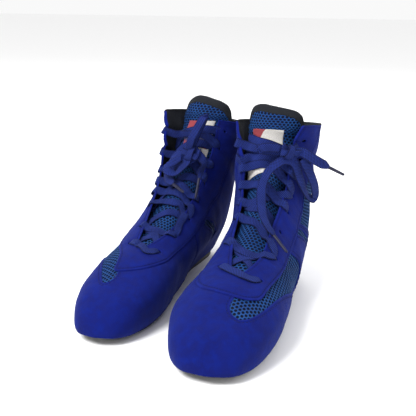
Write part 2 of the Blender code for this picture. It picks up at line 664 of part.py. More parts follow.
def build_tongue(boot):
    left = curve((0.360, 0.400), (0.600, 0.385), (0.800, 0.375), (TONGUE_FOLD_U, 0.370))
    boot.panel("tongue", [
        left,
        straight(left[-1], inner_side(left)[-1]),
        inner_side(left)[::-1],
        straight(inner_side(left)[0], left[0]),
    ], TONGUE, "mesh")
    crown = curve((1.003, 0.372), (1.045, 0.378), (1.085, 0.400), (1.112, 0.440), (1.120, 0.500),
                  (1.112, 0.560), (1.085, 0.600), (1.045, 0.622), (1.003, 0.628))
    boot.panel("tongue_top", [
        crown,
        straight(crown[-1], crown[0]),
    ], TONGUE, "mesh", origin=TONGUE_HINGE)
    boot.panel("tongue_label", [
        straight((0.770, 0.450), (0.966, 0.450)),
        straight((0.966, 0.450), (0.966, 0.585)),
        straight((0.966, 0.585), (0.770, 0.585)),
        straight((0.770, 0.585), (0.770, 0.450)),
    ], LABEL, "label")


def eyelet(row, side):
    """Where the lace goes through the stay, on the upper laid flat."""
    edge = curve(*THROAT)
    v = np.interp(row, edge[:, 0], edge[:, 1])
    place = UPPER.flat((row, v))[0] - np.array([EYELET_INSET, 0.0])
    return np.array([side * place[0], place[1]])


def build_laces(boot):
    route = []
    for number, row in enumerate(LACE_ROWS):
        first = -1 if number % 2 else 1
        route += [eyelet(row, first), eyelet(row, -first)]
    boot.ribbon("laced_rows", route, LACE_ROW_WIDTH, shell(LACE_DEPTHS), "lace")


def build_knot(boot):
    """The knot of the bow: a rounded lump that lies on the laced rows."""
    u, v, height = KNOTS[boot.name]
    middle, out, across, along = UPPER.at(
        [(u, v), (u, v), (u, v + 0.01), (u + 0.01, v)], [height, height + 1.0, height, height]
    )
    across = (across - middle) / np.linalg.norm(across - middle)
    out = out - middle
    along = np.cross(out, across)
    points = [middle + out * KNOT_HALF[2]]
    for ring in range(1, KNOT_RINGS):
        slope = math.pi * ring / KNOT_RINGS
        for part in range(KNOT_SIDES):
            turn = 2 * math.pi * part / KNOT_SIDES
            aside = across * math.cos(turn) * KNOT_HALF[0] + along * math.sin(turn) * KNOT_HALF[1]
            points.append(middle + aside * math.sin(slope) + out * math.cos(slope) * KNOT_HALF[2])
    points.append(middle - out * KNOT_HALF[2])
    last = len(points) - 1
    faces = []
    for part in range(KNOT_SIDES):
        beside = (part + 1) % KNOT_SIDES
        faces.append((0, 1 + part, 1 + beside))
        faces.append((last, last - KNOT_SIDES + beside, last - KNOT_SIDES + part))
        for ring in range(KNOT_RINGS - 2):
            a = 1 + ring * KNOT_SIDES
            b = a + KNOT_SIDES
            faces.append((a + part, b + part, b + beside, a + beside))
    boot.solid("knot", np.array(points), faces, "lace")


def build_bow(boot):
    """The free lengths of lace from the knot and the hard tips of the two ends."""
    for name, route in BOWS[boot.name].items():
        places = boot.over_upper(route)
        boot.tube(name, places, LACE_RADIUS, "lace")
        if name.startswith("lace_end"):
            ahead = (places[-1] - places[-2]) / np.linalg.norm(places[-1] - places[-2])
            tip = [places[-1] + ahead * (LACE_GAP + AGLET_LENGTH * share) for share in (0.0, 0.5, 1.0)]
            boot.tube(name.replace("lace_end", "aglet"), np.array(tip), AGLET_RADIUS, "aglet")


for boot_name in BOOTS:
    pair_boot = Boot(boot_name)
    build_sole(pair_boot)
    build_upper(pair_boot)
    build_inside(pair_boot)
    build_collar(pair_boot)
    build_tongue(pair_boot)
    build_laces(pair_boot)
    build_knot(pair_boot)
    build_bow(pair_boot)
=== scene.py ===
"""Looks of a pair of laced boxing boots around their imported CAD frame."""
import math
from functools import cached_property

import bpy
import numpy as np
from mathutils import Matrix, Vector, noise
from mathutils.geometry import delaunay_2d_cdt
from mathutils.kdtree import KDTree


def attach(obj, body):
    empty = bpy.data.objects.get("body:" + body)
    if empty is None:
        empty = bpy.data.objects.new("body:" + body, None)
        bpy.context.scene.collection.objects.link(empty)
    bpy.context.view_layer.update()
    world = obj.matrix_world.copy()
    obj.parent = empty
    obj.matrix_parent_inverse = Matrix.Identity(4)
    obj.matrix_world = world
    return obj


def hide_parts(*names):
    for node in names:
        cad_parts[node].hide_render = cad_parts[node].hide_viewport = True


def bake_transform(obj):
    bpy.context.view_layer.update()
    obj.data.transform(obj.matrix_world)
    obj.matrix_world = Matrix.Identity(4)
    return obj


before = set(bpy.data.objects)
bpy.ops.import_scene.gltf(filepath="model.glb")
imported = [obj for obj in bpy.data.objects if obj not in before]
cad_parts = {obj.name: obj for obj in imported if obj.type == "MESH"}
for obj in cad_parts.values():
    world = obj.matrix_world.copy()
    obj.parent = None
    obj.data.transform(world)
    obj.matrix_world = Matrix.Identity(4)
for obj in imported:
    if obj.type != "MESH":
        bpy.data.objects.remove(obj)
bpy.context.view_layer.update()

MM = 0.001
FRONT = 0.5

# ---------------------------------------------------------------- camera, floor and light
# The camera comes first: what it sees decides where the cords may lie.
CAMERA_PLACE = (-0.0018, -0.7080, 0.2977)
CAMERA_DOWN = 0.2946
CAMERA_ROLL = 0.016
CAMERA_LENS = 68.6
CAMERA_SHIFT = (0.0132, 0.0269)
FLOOR_HALF = 6.0
FLOOR_GAP = 0.0006
SKY_STRENGTH = 0.95
# Name, place, aim, size and power of each lamp.
LIGHTS = (
    ("key", (-0.75, -0.85, 1.25), (0.0, 0.0, 0.08), 0.7, 34.0),
    ("fill", (1.1, -0.7, 0.8), (0.0, 0.0, 0.08), 1.2, 5.0),
    ("back", (0.2, 1.2, 1.2), (0.0, 0.0, 0.1), 1.0, 10.0),
)


def make_camera():
    data = bpy.data.cameras.new("camera")
    camera = bpy.data.objects.new("camera", data)
    bpy.context.scene.collection.objects.link(camera)
    data.lens = CAMERA_LENS
    data.sensor_width = 36.0
    data.shift_x, data.shift_y = CAMERA_SHIFT
    data.clip_start = 0.01
    data.dof.use_dof = False
    turn = Matrix.Rotation(math.pi / 2 - CAMERA_DOWN, 4, "X") @ Matrix.Rotation(CAMERA_ROLL, 4, "Z")
    camera.matrix_world = Matrix.Translation(CAMERA_PLACE) @ turn
    bpy.context.scene.camera = camera


def area_light(name, place, aim, size, power):
    data = bpy.data.lights.new(name, "AREA")
    data.shape = "DISK"
    data.size = size
    data.energy = power
    light = bpy.data.objects.new(name, data)
    bpy.context.scene.collection.objects.link(light)
    light.location = place
    light.rotation_euler = (Vector(aim) - Vector(place)).to_track_quat("-Z", "Y").to_euler()


def make_stage():
    mesh = bpy.data.meshes.new("floor")
    corners = [(x * FLOOR_HALF, y * FLOOR_HALF, 0) for x, y in ((-1, -1), (1, -1), (1, 1), (-1, 1))]
    mesh.from_pydata(corners, [], [(0, 1, 2, 3)])
    floor = bpy.data.objects.new("floor", mesh)
    bpy.context.scene.collection.objects.link(floor)
    paint = bpy.data.materials.new("floor_paint")
    paint.use_nodes = True
    surface = paint.node_tree.nodes["Principled BSDF"]
    surface.inputs["Base Color"].default_value = (0.93, 0.93, 0.93, 1.0)
    surface.inputs["Roughness"].default_value = 0.9
    mesh.materials.append(paint)
    floor.location.z = -FLOOR_GAP
    world = bpy.data.worlds.new("studio")
    world.use_nodes = True
    background = world.node_tree.nodes["Background"]
    background.inputs["Color"].default_value = (1.0, 1.0, 1.0, 1.0)
    background.inputs["Strength"].default_value = SKY_STRENGTH
    bpy.context.scene.world = world
    for light in LIGHTS:
        area_light(*light)
    bpy.context.scene.view_settings.view_transform = "Standard"


# ---------------------------------------------------------------- the upper's surface
# u, front line: distance from the heel and height, sole or back line: the same,
# half-width outer and inner, height of the widest place (share), squareness below and above
STATIONS = (
    (0.00, 285, 16, 285, 14, 0.6, 0.6, 0.50, 2.0, 2.0),
    (0.05, 281, 26, 280, 10.5, 17, 20, 0.48, 2.2, 2.1),
    (0.12, 267, 36, 268, 7.5, 29, 34, 0.46, 2.6, 2.1),
    (0.20, 243, 47, 246, 5.5, 39, 43, 0.44, 2.9, 2.1),
    (0.28, 216, 56, 222, 5, 44, 48, 0.42, 3.0, 2.0),
    (0.36, 187, 62, 196, 5, 46, 48, 0.40, 3.0, 1.9),
    (0.44, 158, 70, 165, 5, 45, 43, 0.38, 3.2, 1.8),
    (0.52, 133, 82, 130, 5, 42, 37, 0.36, 3.2, 1.75),
    (0.60, 112, 97, 90, 5, 40, 34, 0.36, 3.0, 1.75),
    (0.68, 101, 111, 48, 5, 38, 33, 0.38, 2.8, 1.8),
    (0.73, 97, 119, 14, 6.5, 38, 34, 0.42, 2.5, 1.85),
    (0.77, 94, 126, 5, 19, 38, 35, 0.45, 2.3, 1.9),
    (0.82, 92, 136, 2, 48, 38, 36, 0.48, 2.2, 2.0),
    (0.90, 91, 152, 6, 98, 38, 37, 0.50, 2.1, 2.0),
    (1.00, 91, 171, 4, 158, 40, 37, 0.50, 2.0, 2.0),
    (1.14, 89, 190, 2, 186, 40, 37, 0.50, 2.0, 2.0),
)
FOOT_LENGTH = 285.0
MIDDLE_OF_FOOT = 140.0
SOLE_TOP = 5.0
FEATHER_RISE = 4.5
# Where each boot stands (place and turn), its outer side, how far the shaft leans and on what power of its
# height, how much the ball is pinched on the outer and inner side, how much the arch is tucked in, and the
# seed of its creases.
BOOTS = {
    "right": {"place": (-47.05, 35.8), "turn": -18.4, "side": -1.0, "lean": (33.0, 1.6),
              "pinch": (0.10, 0.21), "tuck": 0.33, "seed": 3.7},
    "left": {"place": (36.95, -26.2), "turn": -13.8, "side": 1.0, "lean": (13.5, 1.0),
             "pinch": (0.0, 0.0), "tuck": 0.0, "seed": 11.3},
}
LEAN_HEIGHT = 170.0
TOE_SPRING = 7.0
SPRING_START = 222.0
# How far the suede is drawn down over the sole's edge, how high up that reaches, and the least gap it
# keeps above the sole's underside.
WRAP = 8.0
WRAP_HEIGHT = 30.0
WRAP_GAP = 1.5


def clamped(values):
    return np.clip(values, 0.0, 1.0)


def eased(share):
    """A share from 0 to 1 that starts and ends gently."""
    return share * share * (3 - 2 * share)


def bell(values, middle, spread):
    """1 at the middle, falling to 0 on both sides."""
    return np.exp(-(((values - middle) / spread) ** 2))


def run_along(line):
    """How far along a line each of its points lies."""
    return np.concatenate([[0.0], np.cumsum(np.linalg.norm(np.diff(line, axis=0), axis=1))])


def unit(vectors):
    return vectors / np.maximum(np.linalg.norm(vectors, axis=-1, keepdims=True), 1e-9)


def spring(y):
    """How far the sole's underside rises off the floor towards the toe."""
    along = clamped((MIDDLE_OF_FOOT - y - SPRING_START) / (FOOT_LENGTH - SPRING_START))
    return TOE_SPRING * along**2


def smooth(knots, values, at):
    """The values between the knots on a smooth curve through them."""
    knots = np.asarray(knots, float)
    values = np.asarray(values, float)
    step = np.diff(knots)
    rise = np.diff(values, axis=0) / (step if values.ndim == 1 else step[:, None])
    slope = np.empty_like(values)
    weight = step[1:] / (step[:-1] + step[1:])
    if values.ndim > 1:
        weight = weight[:, None]
    slope[1:-1] = rise[:-1] * weight + rise[1:] * (1.0 - weight)
    slope[0] = 1.5 * rise[0] - 0.5 * slope[1]
    slope[-1] = 1.5 * rise[-1] - 0.5 * slope[-2]
    index = np.clip(np.searchsorted(knots, at, side="right") - 1, 0, len(step) - 1)
    t = (at - knots[index]) / step[index]
    span = step[index]
    if values.ndim > 1:
        t = t[:, None]
        span = span[:, None]
    start = (2 * t**3 - 3 * t**2 + 1) * values[index] + (t**3 - 2 * t**2 + t) * span * slope[index]
    end = (3 * t**2 - 2 * t**3) * values[index + 1] + (t**3 - t**2) * span * slope[index + 1]
    return start + end


def noisy(*places):
    """Smooth noise from -1 to 1 at points given as their x, y and z."""
    return np.array([noise.noise(Vector(place)) for place in np.broadcast(*places)])


class Upper:
    """The outer surface of the upper as a table of points and normals over u and v."""

    U_STEPS = 224
    V_STEPS = 128
    ARC_STEPS = 60

    def __init__(self):
        table = np.array(STATIONS, float)
        self.u = np.linspace(0.0, table[-1, 0], self.U_STEPS + 1)
        rows = smooth(table[:, 0], table[:, 1:], self.u)
        self.points = np.array([self.section(row) for row in rows])
        self.set_normals()
        self.length = run_along(self.points[:, self.V_STEPS // 4])
        self.girth = np.linalg.norm(np.diff(self.points, axis=1), axis=2).sum(axis=1)

    def set_normals(self):
        along = np.gradient(self.points, self.u, axis=0)
        wrapped = np.concatenate([self.points[:, -2:-1], self.points, self.points[:, 1:2]], axis=1)
        across = (wrapped[:, 2:] - wrapped[:, :-2]) * (self.V_STEPS / 2.0)
        self.normals = unit(np.cross(along, across))

    def section(self, row):
        front_s, front_z, back_s, back_z, outer, inner, widest, below, above = row
        angle = np.linspace(0.0, math.pi / 2, self.ARC_STEPS)
        height = math.hypot(front_s - back_s, front_z - back_z)
        share = np.linspace(0.0, 1.0, self.V_STEPS // 2 + 1)
        halves = []
        for width in (outer, -inner):
            low_x = width * np.sin(angle) ** (2 / below)
            low_t = widest - widest * np.cos(angle) ** (2 / below)
            high_x = width * np.cos(angle) ** (2 / above)
            high_t = widest + (1 - widest) * np.sin(angle) ** (2 / above)
            x = np.concatenate([low_x, high_x[1:]])
            t = np.concatenate([low_t, high_t[1:]])
            run = np.concatenate([[0.0], np.cumsum(np.hypot(np.diff(x), np.diff(t) * height))])
            x = np.interp(share, run / run[-1], x)
            t = np.interp(share, run / run[-1], t)
            y = MIDDLE_OF_FOOT - (back_s + (front_s - back_s) * t)
            z = back_z + (front_z - back_z) * t
            halves.append(np.stack([x, y, z], axis=-1))
        return np.concatenate([halves[0], halves[1][::-1][1:]])

    def creased(self, seed):
        """The same surface with the soft dents and folds that wear leaves in it."""
        made = object.__new__(Upper)
        made.__dict__.update(self.__dict__)
        u = np.repeat(self.u, self.V_STEPS + 1)
        v = np.tile(np.linspace(0.0, 1.0, self.V_STEPS + 1), self.U_STEPS + 1)
        aside = np.abs(v - FRONT)
        x, y = self.flat(np.column_stack([u, v])).T
        # Broad and small dents, read off a round tube so that they meet at the heel.
        ring_x, ring_y = np.cos(2 * math.pi * v) * 40, np.sin(2 * math.pi * v) * 40
        wide = noisy(ring_x / 26, ring_y / 26, y / 26 + seed)
        small = noisy(ring_x / 11, ring_y / 11, y / 9 - seed)
        # Folds across the boot: at the ball, at the ankle and up the shaft, each with its own spacing.
        bent = y + 0.16 * np.abs(x) + 7.0 * wide
        flex = bell(u, 0.34, 0.07) * clamped((aside - 0.08) / 0.1)
        ankle = bell(u, 0.66, 0.08) * clamped((aside - 0.16) / 0.08)
        shaft = clamped((u - 0.78) / 0.08) * clamped((1.0 - u) / 0.06)
        toe = clamped(u / 0.12)
        low = clamped((self.points[..., 2].ravel() - 9.0) / 16.0)
        height = 0.9 * wide * toe + 0.35 * small * toe
        height += 0.10 * flex * np.sin(bent * 2 * math.pi / 13.0)
        height += 0.3 * ankle * np.sin(bent * 2 * math.pi / 21.0 + 1.0)
        height += 1.1 * shaft * np.sin(bent * 2 * math.pi / 38.0 + seed)
        height = (height * low).reshape(self.U_STEPS + 1, self.V_STEPS + 1)
        made.points = self.points + self.normals * height[..., None]
        # The suede's lower edge is drawn down over the sole, but not below its underside.
        floor = np.where(self.u < 0.5, self.points[:, 0, 2], SOLE_TOP)[:, None]
        share = clamped((made.points[..., 2] - floor) / WRAP_HEIGHT)
        wrapped = made.points[..., 2] - WRAP * (1.0 - eased(share))
        least = spring(made.points[..., 1]) + WRAP_GAP
        over = wrapped - least
        made.points[..., 2] = least + 0.5 * (over + np.sqrt(over**2 + 1.0))
        made.set_normals()
        return made

    def at(self, uv, depth):
        """Points of the surface, moved along its normals by depth."""
        places, normal = self.place_and_normal(uv)
        return places + normal * np.reshape(depth, (-1, 1))

    def place_and_normal(self, uv):
        uv = np.atleast_2d(np.asarray(uv, float))
        row = clamped(uv[:, 0] / self.u[-1]) * self.U_STEPS
        column = np.mod(uv[:, 1], 1.0) * self.V_STEPS
        i = np.minimum(row.astype(int), self.U_STEPS - 1)
        j = np.minimum(column.astype(int), self.V_STEPS - 1)
        a = (row - i)[:, None]
        b = (column - j)[:, None]
        places = []
        for grid in (self.points, self.normals):
            low = grid[i, j] * (1 - b) + grid[i, j + 1] * b
            high = grid[i + 1, j] * (1 - b) + grid[i + 1, j + 1] * b
            places.append(low * (1 - a) + high * a)
        return places[0], unit(places[1])

    def girth_at(self, u):
        return np.interp(u, self.u, self.girth)

    def flat(self, uv):
        """The place of (u, v) on the upper laid flat, in millimetres."""
        uv = np.atleast_2d(np.asarray(uv, float))
        x = (uv[:, 1] - FRONT) * self.girth_at(uv[:, 0])
        return np.stack([x, np.interp(uv[:, 0], self.u, self.length)], axis=-1)

    def folded(self, flat):
        """The (u, v) of places on the upper laid flat."""
        u = np.interp(flat[:, 1], self.length, self.u)
        return np.stack([u, FRONT + flat[:, 0] / self.girth_at(u)], axis=-1)

    def feather(self, u, rise=FEATHER_RISE):
        """The v on the outer side where the upper meets the sole's edge."""
        row = min(u / self.u[-1] * self.U_STEPS, self.U_STEPS - 1.001)
        share = row - int(row)
        grid = self.points[int(row) : int(row) + 2, : self.V_STEPS // 2 + 1, 2]
        half = grid[0] * (1.0 - share) + grid[1] * share
        floor = half[0] if u < 0.5 else SOLE_TOP
        rise = min(rise, 0.3 * (half[-1] - floor))
        above = np.nonzero(half >= floor + rise)[0]
        k = max(int(above[0]), 1)
        part = (floor + rise - half[k - 1]) / max(half[k] - half[k - 1], 1e-6)
        return (k - 1 + min(max(part, 0.0), 1.0)) / self.V_STEPS


UPPER = Upper()


# ---------------------------------------------------------------- outlines on the upper laid flat
CURVE_STEPS = 12
# How near a grid point may lie to an outline's points, as a share of the grid's step.
LEAST_GAP = 0.55


def curve(*points):
    """Points on a smooth line through (u, v) points."""
    points = np.array(points, float)
    knots = np.arange(len(points), dtype=float)
    at = np.linspace(0.0, knots[-1], CURVE_STEPS * (len(points) - 1) + 1)
    if len(points) == 2:
        return points[0] + (points[1] - points[0]) * at[:, None]
    return smooth(knots, points, at)


def inner_side(line):
    """The same line on the other side of the front line."""
    return np.stack([line[:, 0], 1.0 - line[:, 1]], axis=-1)


def spaced(line, step, last=False):
    """A polyline's points laid out afresh about a step apart."""
    run = run_along(line)
    count = max(1, round(run[-1] / step))
    at = np.linspace(0.0, run[-1], count + 1)
    at = at if last else at[:-1]
    return np.stack([np.interp(at, run, line[:, k]) for k in range(line.shape[1])], axis=-1)


def shrunk(ring, gap):
    """A closed outline drawn in by a gap, corner by corner."""
    before = ring - np.roll(ring, 1, axis=0)
    after = np.roll(ring, -1, axis=0) - ring
    turn = (ring[:, 0] * after[:, 1] - ring[:, 1] * after[:, 0]).sum()
    sides = []
    for side in (before, after):
        sides.append(unit(np.stack([-side[:, 1], side[:, 0]], axis=-1)))
    middle = sides[0] + sides[1]
    share = np.maximum((middle**2).sum(axis=1, keepdims=True) / 2.0, 0.25)
    return ring + math.copysign(1.0, turn) * gap * middle / share


def inside(ring, points):
    """Which points lie inside a closed outline."""
    x, y = points[:, 0], points[:, 1]
    found = np.zeros(len(points), bool)
    for (ax, ay), (bx, by) in zip(ring, np.roll(ring, -1, axis=0)):
        if ay == by:
            continue
        crossing = (ay > y) != (by > y)
        found ^= crossing & (x < (bx - ax) * (y - ay) / (by - ay) + ax)
    return found


def to_edge(points, rings):
    """How far each point lies from the nearest of some closed outlines."""
    best = np.full(len(points), 1e9)
    for ring in rings:
        for a, b in zip(ring, np.roll(ring, -1, axis=0)):
            run = b - a
            share = clamped(((points - a) @ run) / max(run @ run, 1e-12))
            best = np.minimum(best, np.linalg.norm(points - a - share[:, None] * run, axis=1))
    return best


def filled(ring, step, holes, extra):
    """A closed outline filled with triangles whose corners are about a step apart, with extra points kept."""
    low, high = ring.min(axis=0), ring.max(axis=0)
    columns = np.arange(math.floor(low[0] / step), math.ceil(high[0] / step) + 1)
    rows = np.arange(math.floor(low[1] / step), math.ceil(high[1] / step) + 1)
    grid = np.array([((i + 0.5 * (j % 2)) * step, j * step) for j in rows for i in columns], float)
    grid = grid[inside(ring, grid)]
    edges = []
    points = np.empty((0, 2))
    for line in (ring, *holes):
        first = len(points)
        edges += [(first + i, first + (i + 1) % len(line)) for i in range(len(line))]
        points = np.concatenate([points, line])
    points = np.concatenate([points, extra])
    tree = KDTree(len(points))
    for index, p in enumerate(points):
        tree.insert((p[0], p[1], 0.0), index)
    tree.balance()
    away = np.array([tree.find((p[0], p[1], 0.0))[2] for p in grid])
    points = np.concatenate([points, grid[away > LEAST_GAP * step]])
    made = delaunay_2d_cdt([Vector(p) for p in points], edges, [], 0, 1e-5)
    corners = np.array([tuple(p) for p in made[0]])
    faces = np.array([tuple(face) for face in made[2]])
    middles = corners[faces].mean(axis=1)
    kept = inside(ring, middles)
    for hole in holes:
        kept &= ~inside(hole, middles)
    return corners, [tuple(int(i) for i in face) for face in faces[kept]]


def rounded_off(edge, roll):
    """How far a plate's face drops towards its edge, to round it by a radius of roll."""
    curl = clamped(1.0 - edge / roll)
    return roll * (1.0 - np.sqrt(clamped(1.0 - curl**2)))


def plate_faces(faces, count):
    """Faces of a plate: a sheet of count points, the same sheet reversed below it, and the rim between."""
    below = [tuple(i + count for i in reversed(face)) for face in faces]
    runs = [(face[k], face[(k + 1) % len(face)]) for face in faces for k in range(len(face))]
    known = set(runs)
    rim = [(b, a, a + count, b + count) for a, b in runs if (b, a) not in known]
    return list(faces) + below + rim


def tube_faces(rings, count):
    """Faces of a closed tube: rings of count points each, one after another, with a cap at both ends."""
    faces = []
    for first in range(0, (rings - 1) * count, count):
        for k in range(count):
            n = (k + 1) % count
            faces.append((first + k, first + n, first + count + n, first + count + k))
    faces.append(tuple(reversed(range(count))))
    faces.append(tuple((rings - 1) * count + k for k in range(count)))
    return faces


# ---------------------------------------------------------------- materials
class Shader:
    """A material's node tree, written in short."""

    def __init__(self, name, **values):
        self.material = bpy.data.materials.new(name)
        self.material.use_nodes = True
        self.tree = self.material.node_tree
        self.surface = self.tree.nodes["Principled BSDF"]
        for key, value in values.items():
            self.surface.inputs[key.replace("_", " ")].default_value = value

    @cached_property
    def where(self):
        return self.add("ShaderNodeTexCoord").outputs["Object"]

    @cached_property
    def flat(self):
        """Places on the piece laid flat, in millimetres."""
        return self.add("ShaderNodeUVMap", uv_map="flat").outputs["UV"]

    @cached_property
    def edge(self):
        """The distance from the piece's edge, in millimetres; on the spacer mesh it holds instead the painted
        shade of its holes: 1 on the ribs, 0.3 at a hole's rim, 0 down its wall.
        """
        return self.add("ShaderNodeAttribute", attribute_name="edge").outputs["Fac"]

    def add(self, kind, inputs=None, **settings):
        node = self.tree.nodes.new(kind)
        for key, value in settings.items():
            setattr(node, key, value)
        for key, value in (inputs or {}).items():
            self.put(value, node.inputs[key])
        return node

    def put(self, value, socket):
        if isinstance(value, bpy.types.NodeSocket):
            self.tree.links.new(value, socket)
        elif isinstance(value, bpy.types.Node):
            self.tree.links.new(value.outputs[0], socket)
        else:
            socket.default_value = value

    def math(self, operation, a, b=0.0):
        node = self.add("ShaderNodeMath", operation=operation)
        self.put(a, node.inputs[0])
        self.put(b, node.inputs[1])
        return node.outputs[0]

    def noise(self, scale, detail=2.0, rough=0.5):
        node = self.add("ShaderNodeTexNoise", {
            "Vector": self.where, "Scale": scale, "Detail": detail, "Roughness": rough,
        })
        return node.outputs["Fac"]

    def wave(self, where, scale, distortion, direction, detail=2.0):
        """Soft bands, such as ribs and threads."""
        node = self.add("ShaderNodeTexWave", {
            "Vector": where, "Scale": scale, "Distortion": distortion, "Detail": detail,
        }, wave_type="BANDS", bands_direction=direction)
        return node.outputs["Fac"]

    def split(self, vector):
        return self.add("ShaderNodeSeparateXYZ", {"Vector": vector}).outputs

    def ramp(self, value, low, high, to_low=0.0, to_high=1.0):
        node = self.add("ShaderNodeMapRange", {
            "Value": value, "From Min": low, "From Max": high, "To Min": to_low, "To Max": to_high,
        })
        return node.outputs["Result"]

    def mix(self, share, a, b):
        node = self.add("ShaderNodeMix", data_type="RGBA")
        self.put(share, node.inputs[0])
        self.put(a, node.inputs[6])
        self.put(b, node.inputs[7])
        return node.outputs[2]

    def bump(self, height, strength, distance, normal=None):
        node = self.add("ShaderNodeBump", {"Height": height, "Strength": strength, "Distance": distance})
        if normal is not None:
            self.put(normal, node.inputs["Normal"])
        return node.outputs["Normal"]

    def set(self, **links):
        for key, value in links.items():
            self.put(value, self.surface.inputs[key.replace("_", " ")])


def rgb(red, green, blue):
    """A colour from its screen values, 0 to 255."""
    return tuple((c / 255.0) ** 2.2 for c in (red, green, blue)) + (1.0,)


SUEDE_BASE = rgb(8, 23, 92)
SUEDE_DARK = rgb(6, 16, 74)
SUEDE_LIGHT = rgb(14, 33, 112)
MESH_BLUE = rgb(25, 69, 130)
MESH_DARK = rgb(5, 18, 58)
LACE_BLUE = rgb(34, 49, 117)
LACE_DARK = rgb(2, 5, 28)
# How far a row of stitches lies from its edge, and the length from one stitch to the next.
STITCH_INSET = 2.2
STITCH_PITCH = 3.0
# One stitch along its run: place, half-width and rise.
STITCH_SHAPE = ((-1.2, 0.0, -0.15), (-0.8, 0.3, 0.05), (0.8, 0.3, 0.05), (1.2, 0.0, -0.15))


def suede_material():
    made = Shader("suede_nap", Roughness=0.95, Sheen_Weight=0.14, Sheen_Roughness=0.45,
                  Sheen_Tint=rgb(90, 115, 220), Specular_IOR_Level=0.15)
    patch = made.noise(34.0, 3.0, 0.55)
    brushed = made.noise(140.0, 3.0, 0.6)
    fibre = made.noise(1500.0, 2.0, 0.65)
    tone = made.mix(made.ramp(patch, 0.25, 0.75, 0.25, 1.0), SUEDE_DARK, SUEDE_BASE)
    tone = made.mix(made.ramp(brushed, 0.42, 0.75, 0.0, 0.55), tone, SUEDE_LIGHT)
    tone = made.mix(made.ramp(fibre, 0.35, 0.7, 0.0, 0.3), tone, SUEDE_DARK)
    # Lighter along the raw edges, in patches: partly rubbed wear, partly a painted highlight on the rounded
    # rim.
    rubbed_and_highlit_rim = made.math("MULTIPLY", made.ramp(made.edge, 0.0, 1.4, 0.4, 0.0), made.ramp(brushed, 0.35, 0.6))
    tone = made.mix(rubbed_and_highlit_rim, tone, rgb(26, 38, 118))
    # Painted shade: darker along the row of stitches, in its groove.
    seam = made.math("ABSOLUTE", made.math("SUBTRACT", made.edge, STITCH_INSET))
    tone = made.mix(made.ramp(seam, 0.0, 0.9, 0.45, 0.0), tone, SUEDE_DARK)
    normal = made.bump(fibre, 0.5, 0.00035)
    normal = made.bump(brushed, 0.35, 0.0009, normal)
    made.set(Base_Color=tone, Normal=normal, Roughness=made.ramp(brushed, 0.3, 0.7, 0.88, 1.0))
    return made.material


def thread_material():
    made = Shader("seam_thread", Roughness=0.8, Specular_IOR_Level=0.15)
    twist = made.noise(2600.0, 1.0)
    made.set(Base_Color=made.mix(made.ramp(twist, 0.35, 0.65), rgb(9, 14, 54), rgb(19, 28, 86)),
             Normal=made.bump(twist, 0.4, 0.0002))
    return made.material


def mesh_material():
    """Knitted spacer mesh: fine ribs round real holes."""
    made = Shader("spacer_mesh", Roughness=0.75, Specular_IOR_Level=0.15)
    knit = made.wave(made.flat, 0.55, 1.5, "X", 1.0)
    fuzz = made.noise(1400.0, 2.0, 0.6)
    patch = made.noise(60.0, 2.0)
    tone = made.mix(made.ramp(patch, 0.3, 0.7), rgb(13, 49, 106), MESH_BLUE)
    # Painted highlight: lighter on the tops of the knit's fine ribs.
    tone = made.mix(made.ramp(knit, 0.2, 0.8, 0.0, 0.35), tone, rgb(46, 94, 150))
    tone = made.mix(made.ramp(fuzz, 0.4, 0.7, 0.0, 0.4), tone, MESH_DARK)
    # Painted shade: near-black at the holes' rims and down their walls, read from the edge attribute.
    tone = made.mix(made.ramp(made.edge, 0.0, 1.0), rgb(3, 8, 28), tone)
    height = made.math("ADD", made.math("MULTIPLY", knit, 0.6), fuzz)
    made.set(Base_Color=tone, Normal=made.bump(height, 0.5, 0.0003))
    return made.material


def weave_material(name, dark, light, pitch):
    """Plain woven or knitted cloth, its threads laid along the flat cut."""
    made = Shader(name, Roughness=0.85, Specular_IOR_Level=0.2)
    weave = made.math("MULTIPLY", *(made.wave(made.flat, 0.314 / pitch, 0.6, way) for way in "XY"))
    fuzz = made.noise(900.0, 3.0, 0.6)
    patch = made.noise(45.0, 2.0)
    raised = made.math("ADD", weave, made.math("MULTIPLY", fuzz, 0.6))
    tone = made.mix(made.ramp(raised, 0.2, 1.1), dark, light)
    tone = made.mix(made.ramp(patch, 0.35, 0.7, 0.0, 0.35), tone, dark)
    made.set(Base_Color=tone, Normal=made.bump(made.math("ADD", weave, fuzz), 0.45, 0.0003))
    return made.material


def lace_material():
    """Flat tubular braid: two families of slanting threads."""
    made = Shader("lace_braid", Roughness=0.85, Specular_IOR_Level=0.15, Sheen_Weight=0.08,
                  Sheen_Roughness=0.45, Sheen_Tint=rgb(90, 115, 220))
    threads = []
    for turn in (0.72, -0.72):
        turned = made.add("ShaderNodeMapping", {"Vector": made.flat, "Rotation": (0.0, 0.0, turn)})
        threads.append(made.wave(turned, 0.24, 0.4, "Y"))
    braid = made.math("MAXIMUM", *threads)
    fuzz = made.noise(1300.0, 2.0, 0.6)
    patch = made.noise(70.0, 2.0)
    # Painted shade: the gaps between the braid's threads go nearly black.
    tone = made.mix(made.ramp(braid, 0.52, 0.88), LACE_DARK, LACE_BLUE)
    tone = made.mix(made.ramp(fuzz, 0.4, 0.75, 0.0, 0.35), tone, rgb(34, 47, 114))
    tone = made.mix(made.ramp(patch, 0.4, 0.7, 0.0, 0.3), tone, LACE_DARK)
    # Darker towards both sides of the lace: painted shade where its folded edges turn under, partly soil.
    across = made.math("ABSOLUTE", made.split(made.flat)["X"])
    tone = made.mix(made.ramp(across, 3.0, 3.9, 0.0, 0.8), tone, LACE_DARK)
    height = made.math("ADD", braid, made.math("MULTIPLY", fuzz, 0.5))
    made.set(Base_Color=tone, Normal=made.bump(height, 0.9, 0.0008))
    return made.material


